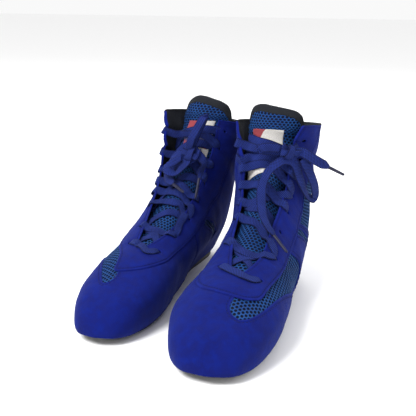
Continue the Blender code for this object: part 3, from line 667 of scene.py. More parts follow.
def rubber_material():
    made = Shader("sole_rubber", Roughness=0.62)
    grain = made.noise(700.0, 3.0, 0.6)
    scuff = made.noise(55.0, 4.0, 0.65)
    tone = made.mix(made.ramp(scuff, 0.45, 0.75), rgb(22, 22, 23), rgb(52, 51, 50))
    made.set(Base_Color=tone, Roughness=made.ramp(scuff, 0.3, 0.7, 0.5, 0.8),
             Normal=made.bump(grain, 0.35, 0.0003))
    return made.material


def board_material():
    made = Shader("pressed_fibre", Roughness=0.9)
    fleck = made.noise(420.0, 4.0, 0.7)
    made.set(Base_Color=made.mix(made.ramp(fleck, 0.35, 0.65), rgb(150, 128, 96), rgb(205, 188, 158)),
             Normal=made.bump(fleck, 0.3, 0.0003))
    return made.material


def label_material():
    """A woven badge: pale field, a red corner and a navy band with small blocks. It bears no lettering."""
    made = Shader("woven_badge", Roughness=0.75, Sheen_Weight=0.15)
    spot = made.split(made.add("ShaderNodeUVMap", uv_map="badge").outputs["UV"])
    across, up = spot["X"], spot["Y"]
    thread = made.wave(made.flat, 0.55, 0.8, "Y")
    fuzz = made.noise(1100.0, 2.0, 0.6)
    white = made.mix(made.ramp(fuzz, 0.3, 0.7), rgb(166, 163, 158), rgb(197, 194, 188))
    slant = made.math("ADD", across, made.math("MULTIPLY", made.math("SUBTRACT", 1.0, up), 0.85))
    red = made.math("MULTIPLY", made.math("LESS_THAN", slant, 0.46), made.math("GREATER_THAN", up, 0.66))
    tone = made.mix(red, white, rgb(124, 18, 27))
    band = made.math("MULTIPLY", made.math("LESS_THAN", up, 0.62), made.math("GREATER_THAN", up, 0.34))
    tone = made.mix(band, tone, rgb(17, 24, 70))
    cell = made.add("ShaderNodeTexVoronoi", {"Vector": made.flat, "Scale": 0.16, "Randomness": 0.8},
                    feature="F1", distance="CHEBYCHEV").outputs
    block = made.math("MULTIPLY", band, made.math("LESS_THAN", cell["Distance"], 0.36))
    pick = made.math("GREATER_THAN", made.split(cell["Color"])["X"], 0.55)
    tone = made.mix(block, tone, made.mix(pick, rgb(180, 180, 182), rgb(122, 20, 29)))
    tone = made.mix(made.ramp(thread, 0.1, 0.9, 0.18, 0.0), tone, rgb(90, 92, 120))
    made.set(Base_Color=tone, Normal=made.bump(made.math("ADD", thread, fuzz), 0.4, 0.0003))
    return made.material


def aglet_material():
    made = Shader("aglet_film", Roughness=0.45, Specular_IOR_Level=0.25)
    cloud = made.noise(420.0, 2.0)
    made.set(Base_Color=made.mix(made.ramp(cloud, 0.3, 0.7), rgb(14, 16, 40), rgb(34, 36, 58)),
             Roughness=made.ramp(cloud, 0.3, 0.7, 0.4, 0.6), Normal=made.bump(cloud, 0.2, 0.0003))
    return made.material


MATERIALS = {
    "suede": suede_material(),
    "thread": thread_material(),
    "mesh": mesh_material(),
    "backing": weave_material("navy_backing", rgb(4, 8, 26), rgb(10, 18, 48), 0.7),
    "lining": weave_material("dark_lining", rgb(11, 13, 20), rgb(35, 40, 54), 0.8),
    "band": weave_material("dark_band", rgb(15, 17, 21), rgb(44, 47, 54), 0.55),
    "sock": weave_material("sock_cloth", rgb(16, 20, 40), rgb(48, 56, 92), 1.1),
    "lace": lace_material(),
    "rubber": rubber_material(),
    "board": board_material(),
    "label": label_material(),
    "aglet": aglet_material(),
}


# ---------------------------------------------------------------- edges of the panels, (u, v)
THROAT = {
    "right": {
        "outer": ((0.345, 0.5), (0.350, 0.475), (0.42, 0.452), (0.52, 0.432), (0.62, 0.416),
                  (0.72, 0.402), (0.83, 0.394), (0.93, 0.385), (0.998, 0.365)),
        "inner": ((0.345, 0.5), (0.350, 0.525), (0.42, 0.562), (0.52, 0.575), (0.62, 0.568),
                  (0.72, 0.556), (0.83, 0.558), (0.93, 0.562), (0.958, 0.560)),
    },
    "left": {
        "outer": ((0.345, 0.5), (0.350, 0.475), (0.42, 0.443), (0.52, 0.438), (0.62, 0.434),
                  (0.72, 0.436), (0.83, 0.436), (0.93, 0.426), (0.998, 0.408)),
        "inner": ((0.345, 0.5), (0.350, 0.525), (0.42, 0.548), (0.52, 0.572), (0.62, 0.577),
                  (0.72, 0.574), (0.83, 0.578), (0.93, 0.612), (0.998, 0.640)),
    },
}
STAY_OUTER = ((0.998, 0.290), (0.90, 0.315), (0.80, 0.345), (0.70, 0.340), (0.60, 0.335),
              (0.53, 0.335), (0.41, 0.348), (0.32, 0.364), (0.262, 0.378), (0.238, 0.405),
              (0.228, 0.445), (0.232, 0.5))
# How far the edges of the stay and of the window beside it lie forward: most, middle and spread over u.
STAY_SHIFT = {"right": (0.075, 0.27, 0.10), "left": (0.012, 0.33, 0.08)}
WINDOW_SHIFT = {"right": (0.040, 0.20, 0.12), "left": (0.0, 0.20, 0.12)}
# How much shorter the stay's front end is, in u.
APRON_RISE = {"right": 0.0, "left": 0.018}
STAY_INNER = ((0.232, 0.5), (0.245, 0.55), (0.275, 0.602), (0.33, 0.640), (0.40, 0.655),
              (0.49, 0.665), (0.60, 0.665), (0.70, 0.660), (0.80, 0.655), (0.90, 0.685),
              (0.998, 0.710))
MESH_FRONT = ((0.228, 0.480), (0.205, 0.485), (0.186, 0.462), (0.178, 0.420))
MESH_LOWER = ((0.178, 0.420), (0.195, 0.380), (0.245, 0.348), (0.36, 0.305), (0.46, 0.240),
              (0.55, 0.190))
MESH_REAR = ((0.55, 0.190), (0.565, 0.250), (0.53, 0.335))
VAMP_REAR_U = 0.565
MEDIAL_REAR_U = 0.52
SLIT = ((0.608, 0.333), (0.648, 0.285), (0.675, 0.235), (0.695, 0.240), (0.670, 0.292), (0.630, 0.337))
ANKLE_WINDOW = ((0.670, 0.328), (0.708, 0.270), (0.747, 0.175), (0.80, 0.125), (0.87, 0.150),
                (0.868, 0.270), (0.80, 0.338), (0.73, 0.338))
MEDIAL_SLIT = ((0.585, 0.690), (0.625, 0.745), (0.655, 0.800), (0.675, 0.795), (0.648, 0.738), (0.607, 0.683))
BACKSTAY_HALF = 0.032
HEEL_U = 0.737
COLLAR_U = 0.998
COLLAR_STEPS = 40
EYELETS = {
    "right": {
        "outer": ((0.365, 0.432), (0.450, 0.425), (0.545, 0.402), (0.630, 0.385), (0.705, 0.372),
                  (0.785, 0.362), (0.860, 0.357), (0.935, 0.350)),
        "inner": ((0.350, 0.592), (0.440, 0.606), (0.530, 0.604), (0.605, 0.597), (0.690, 0.581),
                  (0.775, 0.579), (0.850, 0.588), (0.925, 0.601)),
    },
    "left": {
        "outer": ((0.335, 0.412), (0.450, 0.390), (0.550, 0.402), (0.637, 0.402), (0.725, 0.404),
                  (0.800, 0.400), (0.870, 0.394), (0.945, 0.384)),
        "inner": ((0.372, 0.572), (0.500, 0.606), (0.610, 0.612), (0.690, 0.608), (0.760, 0.606),
                  (0.820, 0.612), (0.880, 0.630), (0.935, 0.652)),
    },
}
EYELET_RADIUS = 2.0
EYELET_CORNERS = 10

# How far the edge of the throat stands off the tongue: u, then millimetres, for each side.
FLAPS = {
    "right": {
        "outer": ((0.34, 0.0), (0.42, 2.0), (0.55, 5.0), (0.70, 7.5), (0.85, 11.0), (1.02, 14.0)),
        "inner": ((0.34, 0.0), (0.42, 0.8), (0.60, 1.0), (0.80, 0.6), (0.90, 0.3), (1.02, 0.0)),
    },
    "left": {
        "outer": ((0.34, 0.0), (0.42, 0.8), (0.60, 1.5), (0.80, 2.5), (0.90, 4.5), (1.02, 7.0)),
        "inner": ((0.34, 0.0), (0.42, 1.5), (0.55, 3.0), (0.70, 3.5), (0.85, 5.5), (1.02, 8.5)),
    },
}
FLAP_WIDTH = 27.0
FLAP_FADE = 12.0
# How far the front of the collar stands out at its top, outer and inner side.
FLARES = {"right": (5.0, -7.0), "left": (3.0, 0.5)}


def sides(values):
    return [np.array(values[side], float) for side in ("outer", "inner")]


def throat(name):
    """Both edges of the throat as smooth lines, the outer one first."""
    return [curve(*THROAT[name][side]) for side in ("outer", "inner")]


def read(table, at):
    """The second column of a table where its first column is at."""
    return np.interp(at, table[:, 0], table[:, 1])


def flare(name, uv):
    """How far the collar's front flaps stand out from the tongue."""
    v = np.mod(uv[:, 1], 1.0)
    up = clamped((uv[:, 0] - 0.80) / 0.20)
    aside = clamped((0.30 - np.abs(v - FRONT)) / 0.18)
    return np.where(v < FRONT, *FLARES[name]) * up**2 * eased(aside)


def flap(name, uv):
    """How far the throat's lifted edges carry a place outwards; it fades inside the throat."""
    girth = UPPER.girth_at(uv[:, 0])
    x = (np.mod(uv[:, 1], 1.0) - FRONT) * girth
    total = np.zeros(len(uv))
    for sign, edge, lift in zip((-1.0, 1.0), sides(THROAT[name]), sides(FLAPS[name])):
        away = np.abs(read(edge, uv[:, 0]) - FRONT)
        out = sign * x - away * girth
        share = np.where(out > 0, 1.0 - out / FLAP_WIDTH, 1.0 + out / FLAP_FADE)
        share = np.where(sign * x > 0, clamped(share), 0.0)
        total += read(lift, uv[:, 0]) * share**1.7
    return total


# How far the top of each collar sags, over v from the front round the inner side and the heel.
SAGS = {
    "right": ((0.50, 0.040), (0.60, 0.038), (0.75, 0.027), (0.95, 0.017), (1.02, 0.012), (1.17, 0.0)),
    "left": ((0.50, 0.0), (1.17, 0.0)),
}


def collar_u(name, v):
    """How high the collar's top edge lies at v."""
    round_v = np.mod(v, 1.0) + np.where(np.mod(v, 1.0) < FRONT, 1.0, 0.0)
    return COLLAR_U - read(np.array(SAGS[name]), round_v)


def collar_edge(name, start, end):
    """The top edge of the collar between two v."""
    v = np.linspace(start, end, COLLAR_STEPS)
    return np.column_stack([collar_u(name, v), v])


def part_of(line, low, high):
    """The stretch of a line whose u lies between two values."""
    return line[(line[:, 0] >= low - 1e-6) & (line[:, 0] <= high + 1e-6)]


def feather_line(start, end, rise=FEATHER_RISE, steps=90):
    """The edge of the upper along the sole, on the outer side."""
    line = np.array([(u, UPPER.feather(u, rise)) for u in np.linspace(start, end, steps)])
    soft = np.convolve(np.pad(line[:, 1], 3, mode="edge"), np.ones(7) / 7, mode="valid")
    line[1:-1, 1] = soft[1:-1]
    return line


MESH_THICK = 0.55


class Boot:
    """One boot of the pair: puts pieces in their place and on their body."""

    def __init__(self, name):
        self.name = name
        facts = BOOTS[name]
        self.side, self.lean = facts["side"], facts["lean"]
        self.pinch, self.tuck = facts["pinch"], facts["tuck"]
        self.body = f"{name}_boot"
        self.skin = UPPER.creased(facts["seed"])
        turn = math.radians(facts["turn"])
        cos, sin = math.cos(turn), math.sin(turn)
        self.turn = np.array([[cos, -sin, 0], [sin, cos, 0], [0, 0, 1]])
        self.place = np.array([*facts["place"], 0.0])

    def world(self, points):
        """Places in the row frame, in metres, of points in the boot's frame in millimetres."""
        places = np.array(points, float)
        along = MIDDLE_OF_FOOT - places[:, 1]
        ball = eased(clamped((along - 120.0) / 60.0))
        arch = bell(along, 90.0, 60.0) * (1.0 - eased(clamped((places[:, 2] - 8.0) / 40.0)))
        outer, inner = ball * self.pinch[0], ball * self.pinch[1] + arch * self.tuck
        places[:, 0] *= self.side * (1.0 - np.where(places[:, 0] > 0, outer, inner))
        height = np.maximum(places[:, 2], 0.0) / LEAN_HEIGHT
        places[:, 0] += self.lean[0] * height ** self.lean[1]
        return (places @ self.turn.T + self.place) * MM

    def piece(self, name, points, faces, material, stands_for, flat, edge=None, ride=True):
        """A mesh piece in the row frame."""
        mesh = bpy.data.meshes.new(f"{self.name}_{name}")
        ring = [tuple(face) for face in faces]
        if self.side < 0:
            ring = [face[::-1] for face in ring]
        mesh.from_pydata([tuple(p) for p in self.world(points)], [], ring)
        corner = np.zeros(len(mesh.loops), np.int32)
        mesh.loops.foreach_get("vertex_index", corner)
        made = mesh.uv_layers.new(name="flat")
        made.data.foreach_set("uv", np.asarray(flat, np.float32)[corner].ravel())
        if edge is not None:
            made = mesh.attributes.new("edge", "FLOAT", "POINT")
            made.data.foreach_set("value", np.asarray(edge, np.float32))
        mesh.materials.append(MATERIALS[material])
        mesh.shade_smooth()
        mesh.set_sharp_from_angle(angle=math.radians(50))
        item = bpy.data.objects.new(f"{self.name}_{name}_made", mesh)
        bpy.context.scene.collection.objects.link(item)
        if stands_for:
            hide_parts(*[f"{self.name}_{node}" for node in stands_for])
        if ride:
            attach(item, self.body)
        return item

    def shell_depth(self, uv):
        return flare(self.name, uv) + flap(self.name, uv) + self.swell(uv)

    def swell(self, uv):
        """The side of the shaft stands out where the ankle was."""
        most, middle = (7.0, 0.26) if self.name == "left" else (4.5, 0.73)
        return most * bell(uv[:, 0], 0.68, 0.15) * bell(np.mod(uv[:, 1], 1.0), middle, 0.12)

    def panel(self, name, edges, lift, thickness, material, stands_for, step=2.6, grow=0.0, holes=(),
              sewn=(), roll=0.8, depth=None, ride=True):
        """A fine patch of the upper with rounded, stitched edges; its holes are windows or eyelets."""
        depth = depth or self.shell_depth
        ring = np.concatenate([spaced(UPPER.flat(line), 0.8 * step) for line in edges])
        ring = shrunk(ring, -grow)
        windows = [
            hole if len(hole) == EYELET_CORNERS else spaced(UPPER.flat(curve(*hole, hole[0])), 0.7 * step)
            for hole in holes
        ]
        rings = [ring, *windows]
        extra = []
        for inset in (0.7, 1.6, STITCH_INSET, 2.9):
            for number, line in enumerate(rings):
                if number and len(line) == EYELET_CORNERS and inset > 1.0:
                    continue
                drawn = shrunk(line, inset if number == 0 else -inset)
                drawn = drawn[inside(ring, drawn)]
                extra.append(drawn[to_edge(drawn, rings) > 0.93 * inset] if len(drawn) else drawn)
        flat, faces = filled(ring, step, windows, np.concatenate(extra))
        uv = UPPER.folded(flat)
        edge = to_edge(flat, rings)
        top = lift - 0.6 * rounded_off(edge, roll)
        if sewn:
            top = top - 0.28 * bell(edge, STITCH_INSET, 0.45)
        out = depth(uv)
        points = np.concatenate([self.skin.at(uv, top + out), self.skin.at(uv, lift - thickness + out)])
        item = self.piece(name, points, plate_faces(faces, len(flat)), material, stands_for,
                          np.tile(flat, (2, 1)), np.tile(edge, 2), ride)
        for number, line in enumerate(sewn):
            self.stitches(f"{name}_seam_{number + 1}", UPPER.flat(line), rings, lift, depth)
        return item

    def stitches(self, name, line, rings, lift, depth):
        """A row of thread stitches inside an edge."""
        line = spaced(line, STITCH_PITCH, last=True)
        ahead = unit(np.gradient(line, axis=0))
        left = np.stack([-ahead[:, 1], ahead[:, 0]], axis=-1)
        best = None
        for sign in (1.0, -1.0):
            spots = line + sign * STITCH_INSET * left
            good = inside(rings[0], spots) & (to_edge(spots, rings) > 0.85 * STITCH_INSET)
            for window in rings[1:]:
                good &= ~inside(window, spots)
            if best is None or good.sum() > best[1].sum():
                best = (spots, good)
        spots, good = best
        points, faces = [], []
        for spot, run, out in zip(spots[good], ahead[good], left[good]):
            first = len(points)
            for share, width, rise in STITCH_SHAPE:
                middle = spot + run * share
                if width == 0.0:
                    points.append((*middle, rise))
                else:
                    for dx, dz in ((-1, 0), (0, 1), (1, 0), (0, -1)):
                        points.append((*(middle + out * width * dx), rise + 0.24 * dz))
            a, b, end = first + 1, first + 5, first + 9
            for k in range(4):
                n = (k + 1) % 4
                faces += [(first, a + n, a + k), (a + k, a + n, b + n, b + k), (b + k, b + n, end)]
        if not points:
            return
        points = np.array(points)
        uv = UPPER.folded(points[:, :2])
        places = self.skin.at(uv, points[:, 2] + lift + depth(uv))
        self.piece(name, places, faces, "thread", [], points[:, :2])

    def perforated(self, name, region, depth, stands_for, upright=False, pitch=3.8, hole=1.25, ride=True):
        """Spacer mesh: ribs round rows of round holes, as one sheet; upright rows run along the boot."""
        region = region[:, ::-1] if upright else region
        keys, points, faces = {}, [], []
        low, high = region.min(axis=0), region.max(axis=0)
        row_step = pitch * math.sqrt(3) / 2
        centres = np.array([
            ((i + 0.5 * (j % 2)) * pitch, j * row_step)
            for j in range(math.floor(low[1] / row_step), math.ceil(high[1] / row_step) + 1)
            for i in range(math.floor(low[0] / pitch), math.ceil(high[0] / pitch) + 1)
        ])

        def point(x, y, z, tone):
            key = (round(x * 50), round(y * 50), z)
            if key not in keys:
                keys[key] = len(points)
                points.append((x, y, z, tone))
            return keys[key]

        around = [math.radians(30 * k + 30) for k in range(12)]
        reach = pitch / math.sqrt(3)
        corner = [(reach * math.cos(a), reach * math.sin(a)) for a in around]
        for k in range(1, 12, 2):
            before, after = corner[k - 1], corner[(k + 1) % 12]
            corner[k] = ((before[0] + after[0]) / 2, (before[1] + after[1]) / 2)
        for x, y in centres[inside(region, centres)]:
            # The fourth value of each point is painted shade for the holes: 1 on the ribs, 0.3 at a hole's
            # rim, 0 down its wall.
            outer = [point(x + dx, y + dy, 0.0, 1.0) for dx, dy in corner]
            rim = [point(x + hole * math.cos(a), y + hole * math.sin(a), -0.16, 0.3) for a in around]
            wall = [point(x + hole * math.cos(a), y + hole * math.sin(a), -MESH_THICK, 0.0) for a in around]
            for k in range(12):
                n = (k + 1) % 12
                faces.append((outer[k], outer[n], rim[n], rim[k]))
                faces.append((rim[k], rim[n], wall[n], wall[k]))
        table = np.array(points)
        if upright:
            table[:, :2] = table[:, 1::-1].copy()
            faces = [face[::-1] for face in faces]
        uv = UPPER.folded(table[:, :2])
        places = self.skin.at(uv, table[:, 2] + depth(uv))
        return self.piece(name, places, faces, "mesh", stands_for, table[:, :2], table[:, 3], ride)


# ---------------------------------------------------------------- sole
# Plan of the sole: distance from the heel, reach to the outer side, reach to the inner side.
SOLE_PLAN = (
    (5, 0, 0), (7.5, 10, 10), (14, 20, 19), (25, 28, 26), (50, 33, 29), (90, 34, 29), (130, 36, 31),
    (165, 39, 38), (200, 40, 43), (232, 35, 41), (255, 28, 34), (270, 20, 25), (280, 10, 13), (283.5, 0, 0),
)
OUTSOLE = 4.6


def sole_outline(inset, heel=0.0):
    """The sole's outline drawn in by inset, and by heel more at the heel."""
    table = np.array(SOLE_PLAN, float)
    knots = np.arange(len(table), dtype=float)
    fine = smooth(knots, table, np.linspace(0.0, knots[-1], 10 * len(table)))
    y = MIDDLE_OF_FOOT - (fine[:, 0] + heel * (1.0 - fine[:, 0] / FOOT_LENGTH) ** 3)
    ring = np.concatenate([np.column_stack([fine[:, 1], y]), np.column_stack([-fine[:, 2], y])[::-1][1:-1]])
    return shrunk(ring, inset)


def tread(plan, edge):
    """Shallow grooves of the tread: slanting bars inside a plain border."""
    zig = np.abs(np.mod(plan[:, 0] / 14.0, 1.0) - 0.5) * 12.0
    wave = np.mod(plan[:, 1] + zig, 7.0) / 7.0
    groove = clamped((0.5 - np.abs(wave - 0.5) - 0.32) / 0.06)
    return 0.9 * groove * clamped((edge - 6.0) / 1.5)


def sole_piece(boot, name, outline, bottom, top, material, step, roll=1.6, pattern=None):
    """A plate of the sole with rounded edges, from one height above the sole's underside to another."""
    ring = spaced(np.concatenate([outline, outline[:1]]), 0.8 * step)
    extra = np.concatenate([shrunk(ring, inset) for inset in (0.35, 0.9, 1.7)])
    extra = extra[inside(ring, extra)]
    plan, faces = filled(ring, step, (), extra)
    edge = to_edge(plan, [ring])
    drop = rounded_off(edge, roll)
    high = np.column_stack([plan, spring(plan[:, 1]) + top - drop])
    lift = 0.7 * drop if pattern is None else 0.7 * drop + pattern(plan, edge)
    low = np.column_stack([plan, spring(plan[:, 1]) + bottom + lift])
    boot.piece(name, np.concatenate([high, low]), plate_faces(faces, len(plan)), material, [name],
               np.tile(plan, (2, 1)), np.tile(edge, 2))


def build_sole(boot):
    sole_piece(boot, "outsole", sole_outline(4.0), 0.0, OUTSOLE, "rubber", 1.9, pattern=tread)
    sole_piece(boot, "lasting_board", sole_outline(6.0, heel=6.0), 5.6, 7.0, "board", 7.0, roll=0.4)
    sole_piece(boot, "sockliner", sole_outline(9.0, heel=8.0), 7.2, 11.0, "sock", 4.0, roll=2.4)


# ---------------------------------------------------------------- upper
def shaped_edges(name):
    """The edges of the stay and of the front window, moved to where they lie on one boot."""
    stay_outer, stay_inner = curve(*STAY_OUTER), curve(*STAY_INNER)
    lower, front = curve(*MESH_LOWER), curve(*MESH_FRONT)
    for line, shifts in ((stay_outer, STAY_SHIFT), (lower, WINDOW_SHIFT), (front, WINDOW_SHIFT)):
        most, middle, spread = shifts[name]
        line[:, 1] += most * clamped((FRONT - line[:, 1]) / 0.12) * bell(line[:, 0], middle, spread)
    for line in (stay_outer, stay_inner):
        line[:, 0] += APRON_RISE[name] * clamped((0.32 - line[:, 0]) / 0.09)
    front[:, 0] += APRON_RISE[name] * clamped((front[:, 0] - 0.178) / 0.05)
    return stay_outer, stay_inner, lower, front


def eyelet_holes(name):
    around = np.linspace(0.0, 2 * math.pi, EYELET_CORNERS + 1)[:-1]
    ring = EYELET_RADIUS * np.column_stack([np.cos(around), np.sin(around)])
    return [spot + ring for spots in EYELETS[name].values() for spot in UPPER.flat(spots)]


def build_upper(boot):
    name = boot.name
    outer, inner = throat(name)
    stay_outer, stay_inner, mesh_lower, mesh_front = shaped_edges(name)
    mesh_rear = curve(*MESH_REAR)
    vamp_rear = curve(MESH_LOWER[-1], (VAMP_REAR_U, UPPER.feather(VAMP_REAR_U)))
    medial_low = (MEDIAL_REAR_U, 1.0 - UPPER.feather(MEDIAL_REAR_U))
    medial_rear = curve(medial_low, part_of(stay_inner, MEDIAL_REAR_U, 1.0)[0])
    half = BACKSTAY_HALF
    heel_side = feather_line(VAMP_REAR_U, HEEL_U - 0.004)
    heel_side = heel_side[heel_side[:, 1] > half]
    medial_heel = inner_side(feather_line(MEDIAL_REAR_U, HEEL_U - 0.004))
    medial_heel = medial_heel[medial_heel[:, 1] < 1.0 - half]
    stay_v = STAY_INNER[-1][1]
    stay_top = collar_u(name, stay_v)
    lateral_collar = collar_edge(name, half, STAY_OUTER[0][1])
    medial_collar = collar_edge(name, stay_v, 1.0 - half)
    boot.panel("vamp", [
        feather_line(VAMP_REAR_U, 0.0), inner_side(feather_line(0.0, MEDIAL_REAR_U)), medial_rear,
        part_of(stay_inner, 0.0, MEDIAL_REAR_U)[::-1], curve(tuple(stay_outer[-1]), tuple(mesh_front[0])),
        mesh_front, mesh_lower, vamp_rear,
    ], 0.0, 1.2, "suede", ["vamp", "toe_puff"], grow=0.8, sewn=[mesh_front, mesh_lower, medial_rear])
    boot.panel("lace_stay", [
        stay_outer, part_of(stay_inner, 0.0, stay_top), collar_edge(name, stay_v, inner[-1][1]),
        inner[::-1], outer, curve(tuple(outer[-1]), STAY_OUTER[0]),
    ], 0.95, 1.3, "suede", ["lace_stay"], grow=0.6, holes=eyelet_holes(name),
        sewn=[stay_outer, stay_inner, outer, inner])
    boot.panel("lateral_quarter", [
        part_of(stay_outer, 0.53, 1.0), mesh_rear[::-1], vamp_rear, heel_side,
        curve(tuple(heel_side[-1]), (HEEL_U + 0.002, half)),
        curve((HEEL_U + 0.002, half), tuple(lateral_collar[0])), lateral_collar,
    ], 0.4, 1.3, "suede", ["lateral_quarter"], grow=0.6, holes=[SLIT, ANKLE_WINDOW],
        sewn=[mesh_rear, vamp_rear, lateral_collar, curve(*SLIT, SLIT[0]),
              curve(*ANKLE_WINDOW, ANKLE_WINDOW[0])])
    boot.panel("medial_quarter", [
        part_of(stay_inner, MEDIAL_REAR_U, stay_top), medial_collar,
        curve(tuple(medial_collar[-1]), (HEEL_U + 0.002, 1.0 - half)),
        curve((HEEL_U + 0.002, 1.0 - half), tuple(medial_heel[-1])), medial_heel[::-1], medial_rear,
    ], 0.4, 1.3, "suede", ["medial_quarter"], grow=0.6, holes=[MEDIAL_SLIT],
        sewn=[medial_collar, curve(*MEDIAL_SLIT, MEDIAL_SLIT[0])])
    back_sides = [curve((HEEL_U + 0.004, v), (collar_u(name, v), v)) for v in (half, -half)]
    boot.panel("backstay", [
        curve((HEEL_U + 0.004, -half), (HEEL_U + 0.004, half)), back_sides[0],
        collar_edge(name, half, -half), back_sides[1][::-1],
    ], 0.95, 1.2, "suede", ["backstay"], grow=1.2, sewn=back_sides)


MESH_DEPTH = -0.9
LATERAL_MESH = (
    (0.168, 0.410), (0.176, 0.475), (0.212, 0.493), (0.250, 0.478), (0.280, 0.462), (0.350, 0.420),
    (0.450, 0.375), (0.535, 0.350), (0.600, 0.352), (0.680, 0.352), (0.750, 0.350), (0.850, 0.320),
    (0.895, 0.240), (0.890, 0.130), (0.820, 0.100), (0.750, 0.132), (0.700, 0.165), (0.640, 0.200),
    (0.590, 0.165), (0.530, 0.165), (0.440, 0.215), (0.350, 0.275), (0.240, 0.325), (0.185, 0.365),
    (0.168, 0.410),
)
MEDIAL_MESH = ((0.570, 0.690), (0.600, 0.668), (0.660, 0.725), (0.695, 0.795), (0.660, 0.820),
               (0.615, 0.765), (0.570, 0.690))


def lining_depth(boot):
    """The lining lies against the suede along the collar and the throat and is padded off it below."""
    outer, inner = sides(THROAT[boot.name])

    def depth(uv):
        u, v = uv[:, 0], np.mod(uv[:, 1], 1.0)
        away = np.minimum(np.abs(v - read(outer, u)), np.abs(v - read(inner, u))) * UPPER.girth_at(u)
        front = clamped((away - 2.0) / 16.0)
        top = clamped((COLLAR_U - u) / 0.05)
        return boot.shell_depth(uv) - 0.9 - 3.6 * eased(np.minimum(front, top))

    return depth


def build_inside(boot):
    name = boot.name
    windows = (("lateral", LATERAL_MESH), ("medial", MEDIAL_MESH))
    for side, line in windows:
        boot.perforated(f"{side}_mesh", spaced(UPPER.flat(curve(*line)), 3.0),
                        lambda uv: boot.shell_depth(uv) + MESH_DEPTH, [f"{side}_mesh"], upright=True)
    for side, line in windows:
        boot.panel(f"{side}_backing", [curve(*line)], MESH_DEPTH - 0.85, 0.4, "backing", [],
                   step=5.0, roll=0.2)
    throat_outer, throat_inner = throat(name)
    low = feather_line(0.075, HEEL_U + 0.02, rise=9.0, steps=60)
    seam = 0.0006
    foot, inner_foot = (HEEL_U + 0.025, seam), (HEEL_U + 0.025, 1.0 - seam)
    boot.panel("lining", [
        low, curve(tuple(low[-1]), foot), curve(foot, (collar_u(name, seam), seam)),
        collar_edge(name, seam, throat_outer[-1][1]), throat_outer[::-1], throat_inner,
        collar_edge(name, throat_inner[-1][1], 1.0 - seam),
        curve((collar_u(name, 1.0 - seam), 1.0 - seam), inner_foot),
        curve(inner_foot, tuple(inner_side(low)[-1])), inner_side(low)[::-1],
        curve((0.075, 1.0 - low[0, 1]), tuple(low[0])),
    ], 0.0, 0.6, "lining", ["lining", "heel_counter"], step=4.4, roll=0.3, depth=lining_depth(boot))


def build_collar(boot):
    """The rolled edge of the lining round the top of the collar."""
    outer, inner = (THROAT[boot.name][side][-1][1] for side in ("outer", "inner"))
    v = np.linspace(outer - 0.004, -(1.0 - inner) + 0.004, 150)
    uv = np.column_stack([collar_u(boot.name, v) + 0.002, v])
    deep = lining_depth(boot)(uv)
    shell = boot.shell_depth(uv)
    middle = (shell - 0.5 + deep) / 2
    half = np.maximum((shell - 0.2 - deep) / 2 + 0.5, 0.9)
    centre, normal = boot.skin.place_and_normal(uv)
    centre = centre + normal * middle[:, None]
    up = np.cross(normal, unit(np.gradient(centre, axis=0)))
    up *= np.sign(up[:, 2:3])
    points, flat = [], []
    count = 12
    for c, n, w, h, r in zip(centre, normal, up, half, run_along(centre)):
        for k in range(count):
            a = 2 * math.pi * k / count
            points.append(c + n * h * math.cos(a) + w * (1.3 * math.sin(a) + 0.2))
            flat.append((k * 0.8, r))
    faces = [face[:1] + face[:0:-1] for face in tube_faces(len(centre), count)]
    boot.piece("collar_binding", np.array(points), faces, "band", ["collar_binding"], np.array(flat))


# ---------------------------------------------------------------- tongue
CROWN = ((1.003, 0.372), (1.045, 0.378), (1.085, 0.400), (1.112, 0.440), (1.120, 0.500),
         (1.112, 0.560), (1.085, 0.600), (1.045, 0.622), (1.003, 0.628))
BAND_LOW = ((1.005, 0.622), (1.040, 0.606), (1.062, 0.575), (1.072, 0.540), (1.075, 0.500), (1.072, 0.460),
            (1.062, 0.425), (1.040, 0.394), (1.005, 0.378))
TONGUE_SIDE = ((0.330, 0.440), (0.360, 0.412), (0.600, 0.385), (0.800, 0.375), (0.985, 0.370))
TONGUE_FACE = -5.0
TONGUE_CROWN = 1.9
LABEL_BOXES = {"right": (0.752, 0.952, 0.424, 0.548), "left": (0.768, 0.962, 0.456, 0.592)}
FOLD_START = (0.0, 50.0, 165.5)
FOLD_END = (0.0, 50.5, 177.0)
# How the tongue's top slopes down from one corner: slope, the v it starts from, and how much wider it is.
TILTS = {"right": (0.42, 0.44, 0.05), "left": (0.26, 0.56, 0.13)}


def tilted(name, line):
    """A line of the tongue, its top sloping down to the inner side (right boot) or the outer (left boot)."""
    slope, start, wider = TILTS[name]
    line = np.array(line, float)
    away = np.maximum(line[:, 1] - start if name == "right" else start - line[:, 1], 0.0)
    line[:, 1] += wider * (line[:, 1] - FRONT) * clamped((line[:, 0] - 0.9) / 0.1)
    line[:, 0] -= slope * away * clamped((line[:, 0] - 0.85) / 0.1)
    return line


def tongue_depth(uv):
    """The padded face of the tongue: fullest along its middle."""
    aside = np.abs(np.mod(uv[:, 1], 1.0) - FRONT) / 0.13
    return TONGUE_FACE + TONGUE_CROWN * clamped(1.0 - aside**2)


def fold_tongue(boot, item):
    start, end = boot.world([FOLD_START, FOLD_END])
    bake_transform(item)


